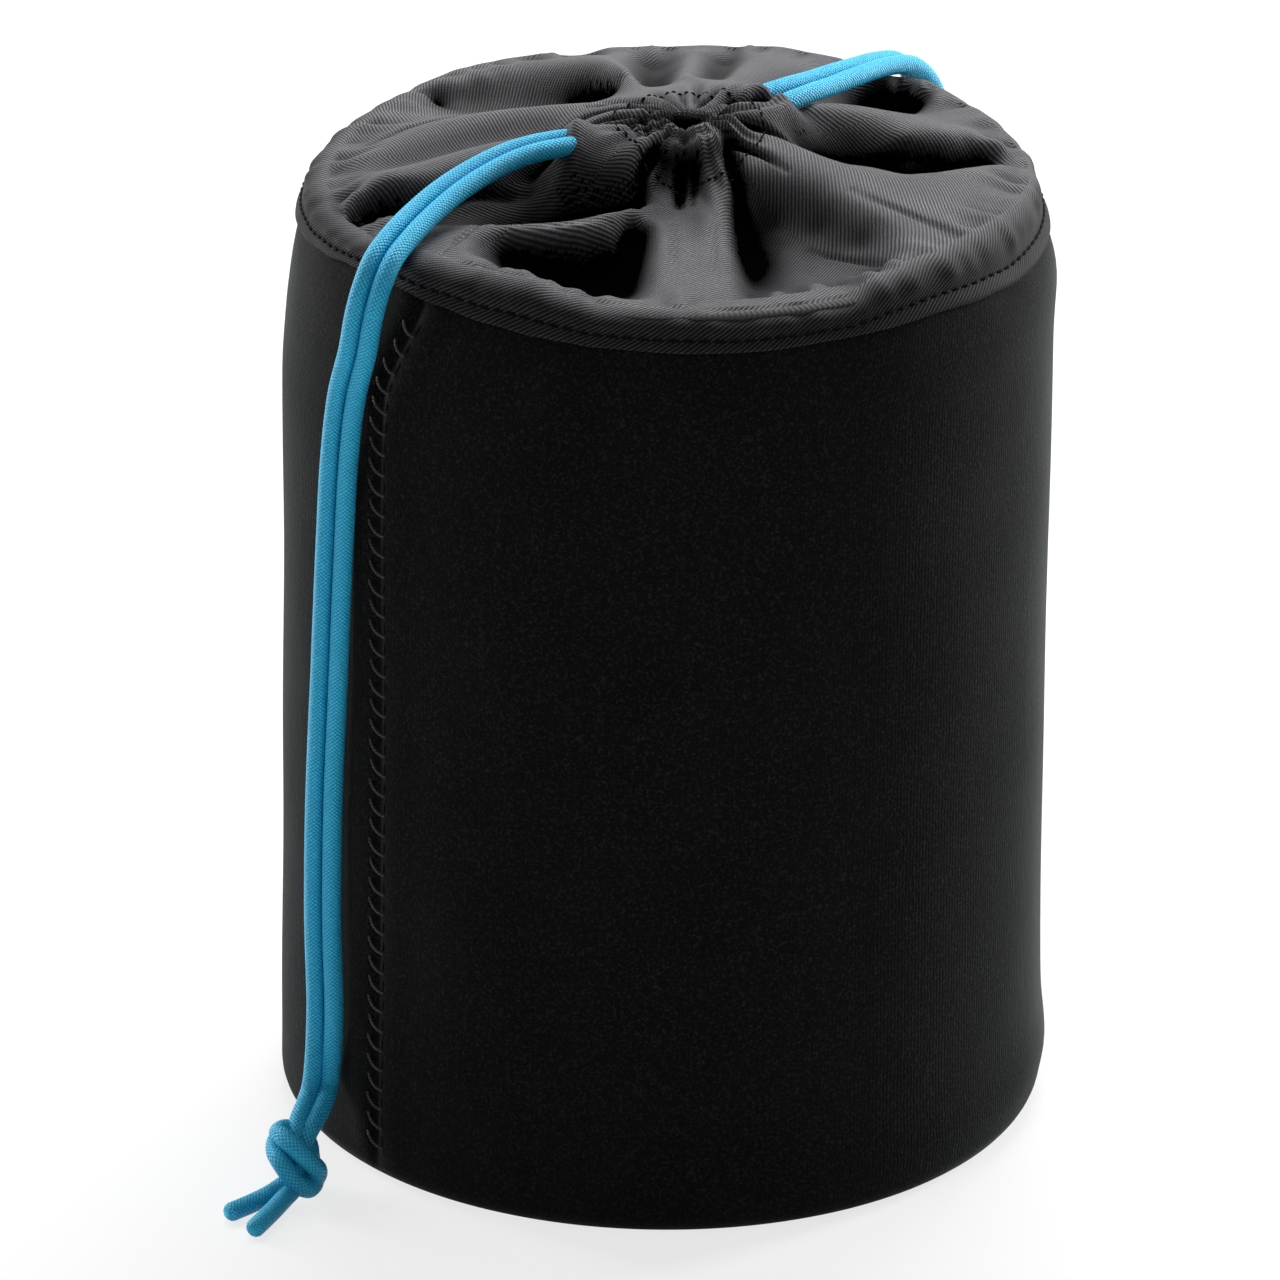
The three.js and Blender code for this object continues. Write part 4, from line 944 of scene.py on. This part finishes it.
# Where the roof rests on the faced rim: from which radius, and how far over the rim, in mm.
REST_R, REST_RISE = 46.4, 1.5
PLEATS = 26


def scattered(k, a, b):
    """A value from 0 to 1 for each number, as if drawn at random."""
    return math.sin(a * (k + 1)) * b % 1


def pleats(place):
    """How deep the nicks between the pleats of the gathered mouth are, in mm. Each runs out from the mouth."""
    out = place - MOUTH
    away = np.linalg.norm(out, axis=-1) / MM
    about = np.arctan2(out[..., 1], out[..., 0])
    deep = 0 * away
    for k in range(PLEATS):
        uneven, other = scattered(k, 12.9898, 43758.5453), scattered(k, 78.233, 12543.123)
        bearing = TAU * (k + 0.55 * (uneven - 0.5)) / PLEATS
        bend = (away - 6) * 0.016 * (other - 0.5)
        off = np.mod(about - bearing - bend + math.pi, TAU) - math.pi
        reach = 13 + 12 * other
        width = 0.42 + 0.035 * away
        nick = (0.8 + 1.0 * uneven) * smooth((reach - away) / (0.6 * reach)) * np.exp(-(off * away / width) ** 2)
        deep = np.maximum(deep, nick)
    return deep * (1 - 0.75 * np.exp(-((about + 1.35) / 0.7) ** 4))


def crease_depth(place):
    """How deep the narrow creases are at each place, in mm."""
    deep = 0 * place[..., 0]
    for line, width, depth in CREASES:
        line = curve_through([(x, y, 0) for x, y in line], 0.8)[:, :2]
        gap = np.full(place.shape[:-1], 1e9)
        reach = np.zeros(place.shape[:-1])
        for k, (x, y) in enumerate(line):
            d = (place[..., 0] / MM - x) ** 2 + (place[..., 1] / MM - y) ** 2
            t = k / (len(line) - 1)
            reach = np.where(d < gap, math.sin(math.pi * min(max(t, 0.06), 0.94)) ** 0.6, reach)
            gap = np.minimum(gap, d)
        deep = np.maximum(deep, depth * reach * np.exp(-gap / width**2))
    return deep


def collar():
    """The collar's outer face, as points round it and across it: lapped edge, band, shoulder, roof and mouth."""
    rise_at = fold_surface()
    turn = (np.arange(ROUND) * TAU / ROUND + seam_bearing(RIM_Z))[:, None]
    lip_r, lip = by_bearing(LIPS, turn)
    lip_r = lip_r * MM
    edge_rise, = by_bearing(EDGE_RISES, turn)
    stretch = np.clip((lip - edge_rise) / 7.4, 0.4, 1)
    off_seam = np.minimum(turn - turn[0], TAU - (turn - turn[0])) * BODY_R
    over_seam = 0.4 * MM * np.exp(-(off_seam / (5 * MM)) ** 2)
    rows = []
    for z, swell in BAND_SWELLS:
        rise = edge_rise + z * stretch
        height = RIM_Z + rise * MM
        over = np.maximum(body_radius(height), TOP_R) + lumps(turn, height) + BAND_OVER
        rows.append((over + over_seam + (swell - 0.02 * z * z) * MM, rise))
    shoulder_r, shoulder = rows[-1]
    for k in range(1, SHOULDER + 1):
        a = math.pi / 2 * k / SHOULDER
        r = lip_r + (shoulder_r - lip_r) * math.cos(a) ** 1.3
        rows.append((r, shoulder + (lip - shoulder) * math.sin(a) ** 1.05))
    xy = [polar(r, turn)[..., :2] for r, _ in rows]
    rise = [h + 0 * turn for _, h in rows]
    gather = 0
    for n, phase, size in GATHERS:
        gather = gather + size * np.sin(n * turn + phase + 0.7 * np.sin(5 * turn))
    for k in range(len(rows)):
        share = smooth((k - 5) / 6) * (1 if k < 16 else 0.7)
        xy[k] = xy[k] + polar(gather * share * MM, turn)[..., :2]
    edge = polar(lip_r, turn)[..., :2]
    around = turn + 0 * edge[..., 0]
    ring = MOUTH + polar(MOUTH_RADIUS * MM, around)[..., :2]
    for share in np.linspace(0, 1, ROOF + 1)[1:]:
        place = edge + (ring - edge) * share
        height = rise_at(place[..., 0] / MM, place[..., 1] / MM) - pleats(place) - crease_depth(place)
        height = height + gather * 1.6 * (1 - smooth(share / 0.2))
        inward = np.maximum(REST_R - np.linalg.norm(place, axis=-1) / MM, 0)
        height = np.maximum(height, (TOP_Z - RIM_Z) / MM + REST_RISE - 6 * inward)
        xy.append(place)
        rise.append(height)
    nick, mouth_rise = pleats(ring), rise[-1]
    for t in np.arange(1, INTO + 1) / INTO:
        radius = MOUTH_RADIUS - 2.9 * math.sin(math.pi / 2 * t) + 0.2 * nick * t
        xy.append(MOUTH + polar(radius * MM, around)[..., :2])
        rise.append(mouth_rise - 5.5 * t**1.6)
    columns = ([p[..., 0] for p in xy], [p[..., 1] for p in xy], [RIM_Z + h * MM for h in rise])
    return np.stack([np.concatenate([np.broadcast_to(c, (ROUND, 1)) for c in column], 1) for column in columns], -1)


def normals_of(points):
    """The outward direction at each point of the collar."""
    around = np.roll(points, -1, 0) - np.roll(points, 1, 0)
    across = np.gradient(points, axis=1)
    made = np.cross(around, across)
    return made / np.maximum(np.linalg.norm(made, axis=-1), 1e-12)[..., None]


def hollow_share(points):
    """How much of the sky each point of the collar's top doesn't see, from 0 on the crests to 1 in the hollows. The
    twill darkens its colour by this as painted shade.
    """
    cell, half, ways = 0.5, 120, 16  # a grid of heights, in mm, and the number of ways to look
    x, y, z = (points[..., k] / MM for k in range(3))
    column, row = (np.clip(np.rint(v / cell).astype(int) + half, 0, 2 * half) for v in (x, y))
    ground = np.full((2 * half + 1, 2 * half + 1), -1e3)
    np.maximum.at(ground, (column, row), z)
    for _ in range(4):
        near = np.max([np.roll(ground, way, axis) for way in (-1, 1) for axis in (0, 1)], axis=0)
        ground = np.where(ground < 0, near, ground)
    unseen = np.zeros_like(ground)
    for k in range(ways):
        horizon = np.zeros_like(ground)
        for far in (1, 2, 3, 4.5, 6, 8, 10, 13, 17):
            move = tuple(-int(round(far * part(TAU * k / ways) / cell)) for part in (math.cos, math.sin))
            horizon = np.maximum(horizon, (np.roll(ground, move, (0, 1)) - ground) / far)
        unseen += horizon / np.sqrt(1 + horizon**2) / ways
    for axis in (0, 1):
        unseen = (np.roll(unseen, 1, axis) + 2 * unseen + np.roll(unseen, -1, axis)) / 4
    sunk = np.clip((ground[column, row] - z - 0.6) / 2, 0, 1)
    shown = np.clip(unseen[column, row] + sunk, 0, 1)
    return shown * smooth((53 - np.hypot(x, y)) / 3.5)  # faded out at the shoulder


def softened(points):
    """The surface without its small folds, for laying out the cloth on it."""
    for _ in range(3):
        points = np.mean([np.roll(points, 3 * n, 0) for n in range(-6, 7)], axis=0)
    return points


# Bearings of the hollows at which the gathered cloth is tucked under, so that its weave starts anew.
TUCKS_DEG = (-158, -131, -100, -74, -48, -8, 22, 60, 93, 122, 150, 178)
# How dark the painted shade on the band below the rim is, and from which station to the lip that fades.
BAND_SHADE, BAND_STATION = 0.75, 11


def cloth_places(points):
    """The place of each corner on the collar's own cloth, in mm: round the collar and outwards."""
    closed = np.concatenate([points, points[:1]])
    none, start = 0 * closed[..., 0], float(seam_bearing(RIM_Z))
    runs = [np.cumsum(np.linalg.norm(np.diff(closed, axis=axis), axis=-1), axis=axis) for axis in (0, 1)]
    round_run = np.concatenate([none[:1], runs[0]])
    out_run = -np.concatenate([none[:, :1], runs[1]], axis=1)
    tucks = sorted(int(np.mod(math.radians(b) - start, TAU) / TAU * ROUND) for b in TUCKS_DEG)
    bounds = np.array([0, *tucks, ROUND])
    middles = (bounds[:-1] + bounds[1:]) // 2

    def place(cell, j, i):
        middle = middles[np.clip(np.searchsorted(bounds, cell, side="right") - 1, 0, len(middles) - 1)]
        on_roof = round_run[middle, LIP_STATION] + round_run[j, i] - round_run[middle, i]
        u = np.where(i > LIP_STATION, on_roof, round_run[j, LIP_STATION])
        return np.stack([u, out_run[j, i]], -1) / MM

    return place


collar_face = collar()
collar_out = normals_of(collar_face)
collar_back = collar_face - collar_out * CLOTH_T
cloth = closed_sheet("collar_cloth", collar_face, collar_back, cloth_places(softened(collar_face)), TWILL)
# Painted shade: the band below the rim faces away from the light, so its colour is darkened; the hollows are darkened
# as well.
fading = (np.arange(collar_face.shape[1]) - BAND_STATION) / (LIP_STATION - BAND_STATION)
band = BAND_SHADE * (1 - smooth(fading))
for name, value in (("hollow_shade", hollow_share(collar_face)), ("shade", np.broadcast_to(band, collar_face.shape[:2]))):
    attribute = cloth.data.attributes.new(name, "FLOAT", "POINT")
    attribute.data.foreach_set("value", np.tile(value.ravel(), 2).astype(np.float32))
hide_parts("collar_front", "collar_back", "hem_front", "hem_back")
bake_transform(cloth)


def surface_at(turn, across):
    """Place and outward direction on the collar at a bearing and a station."""
    j = np.mod(turn - float(seam_bearing(RIM_Z)), TAU) / TAU * ROUND
    j0, i0 = int(j) % ROUND, int(across)
    share, up = j - int(j), across - i0

    def mix(grid):
        a = grid[j0, i0] * (1 - share) + grid[(j0 + 1) % ROUND, i0] * share
        b = grid[j0, i0 + 1] * (1 - share) + grid[(j0 + 1) % ROUND, i0 + 1] * share
        return a * (1 - up) + b * up

    return mix(collar_face), mix(collar_out)


def stitch_row(name, count, length_share, station, rise, radius, nodes, body):
    """A row of stitches round the collar, at one station across it."""
    lines = []
    for k in range(count):
        a, out = surface_at(TAU * k / count, station)
        b, _ = surface_at(TAU * (k + length_share) / count, station)
        lines.append(arched(a, b, out, rise))
    finished(tubes(name, lines, radius, 6, THREAD), nodes, body)


stitch_row("rim_stitches", 156, 0.74, 5, 0.2 * MM, 0.22 * MM, ["rim_stitch_thread"], "pouch")
stitch_row("hem_stitches", 74, 0.6, LIP_STATION + 0.84 * ROOF, 0.16 * MM, 0.16 * MM, [], "mouth")


def loops():
    """Each cord's stretch inside the hem: the bearing of its exit, and its ring's radius and rise in mm."""
    for name, exit_deg, radius, height in (("left", -155, 6.2, 8.6), ("right", 46, 6.8, 5.4)):
        turn = np.radians(exit_deg) + np.linspace(0.35, TAU - 0.35, 120)
        line = polar(radius * MM, turn, RIM_Z + height * MM) + np.array([*MOUTH, 0])
        obj = tubes(f"{name}_cord_in_hem", [line], CORD_D / 2, 16, BRAID, braid_relief)
        finished(obj, [f"{name}_cord_loop"], "mouth")


loops()
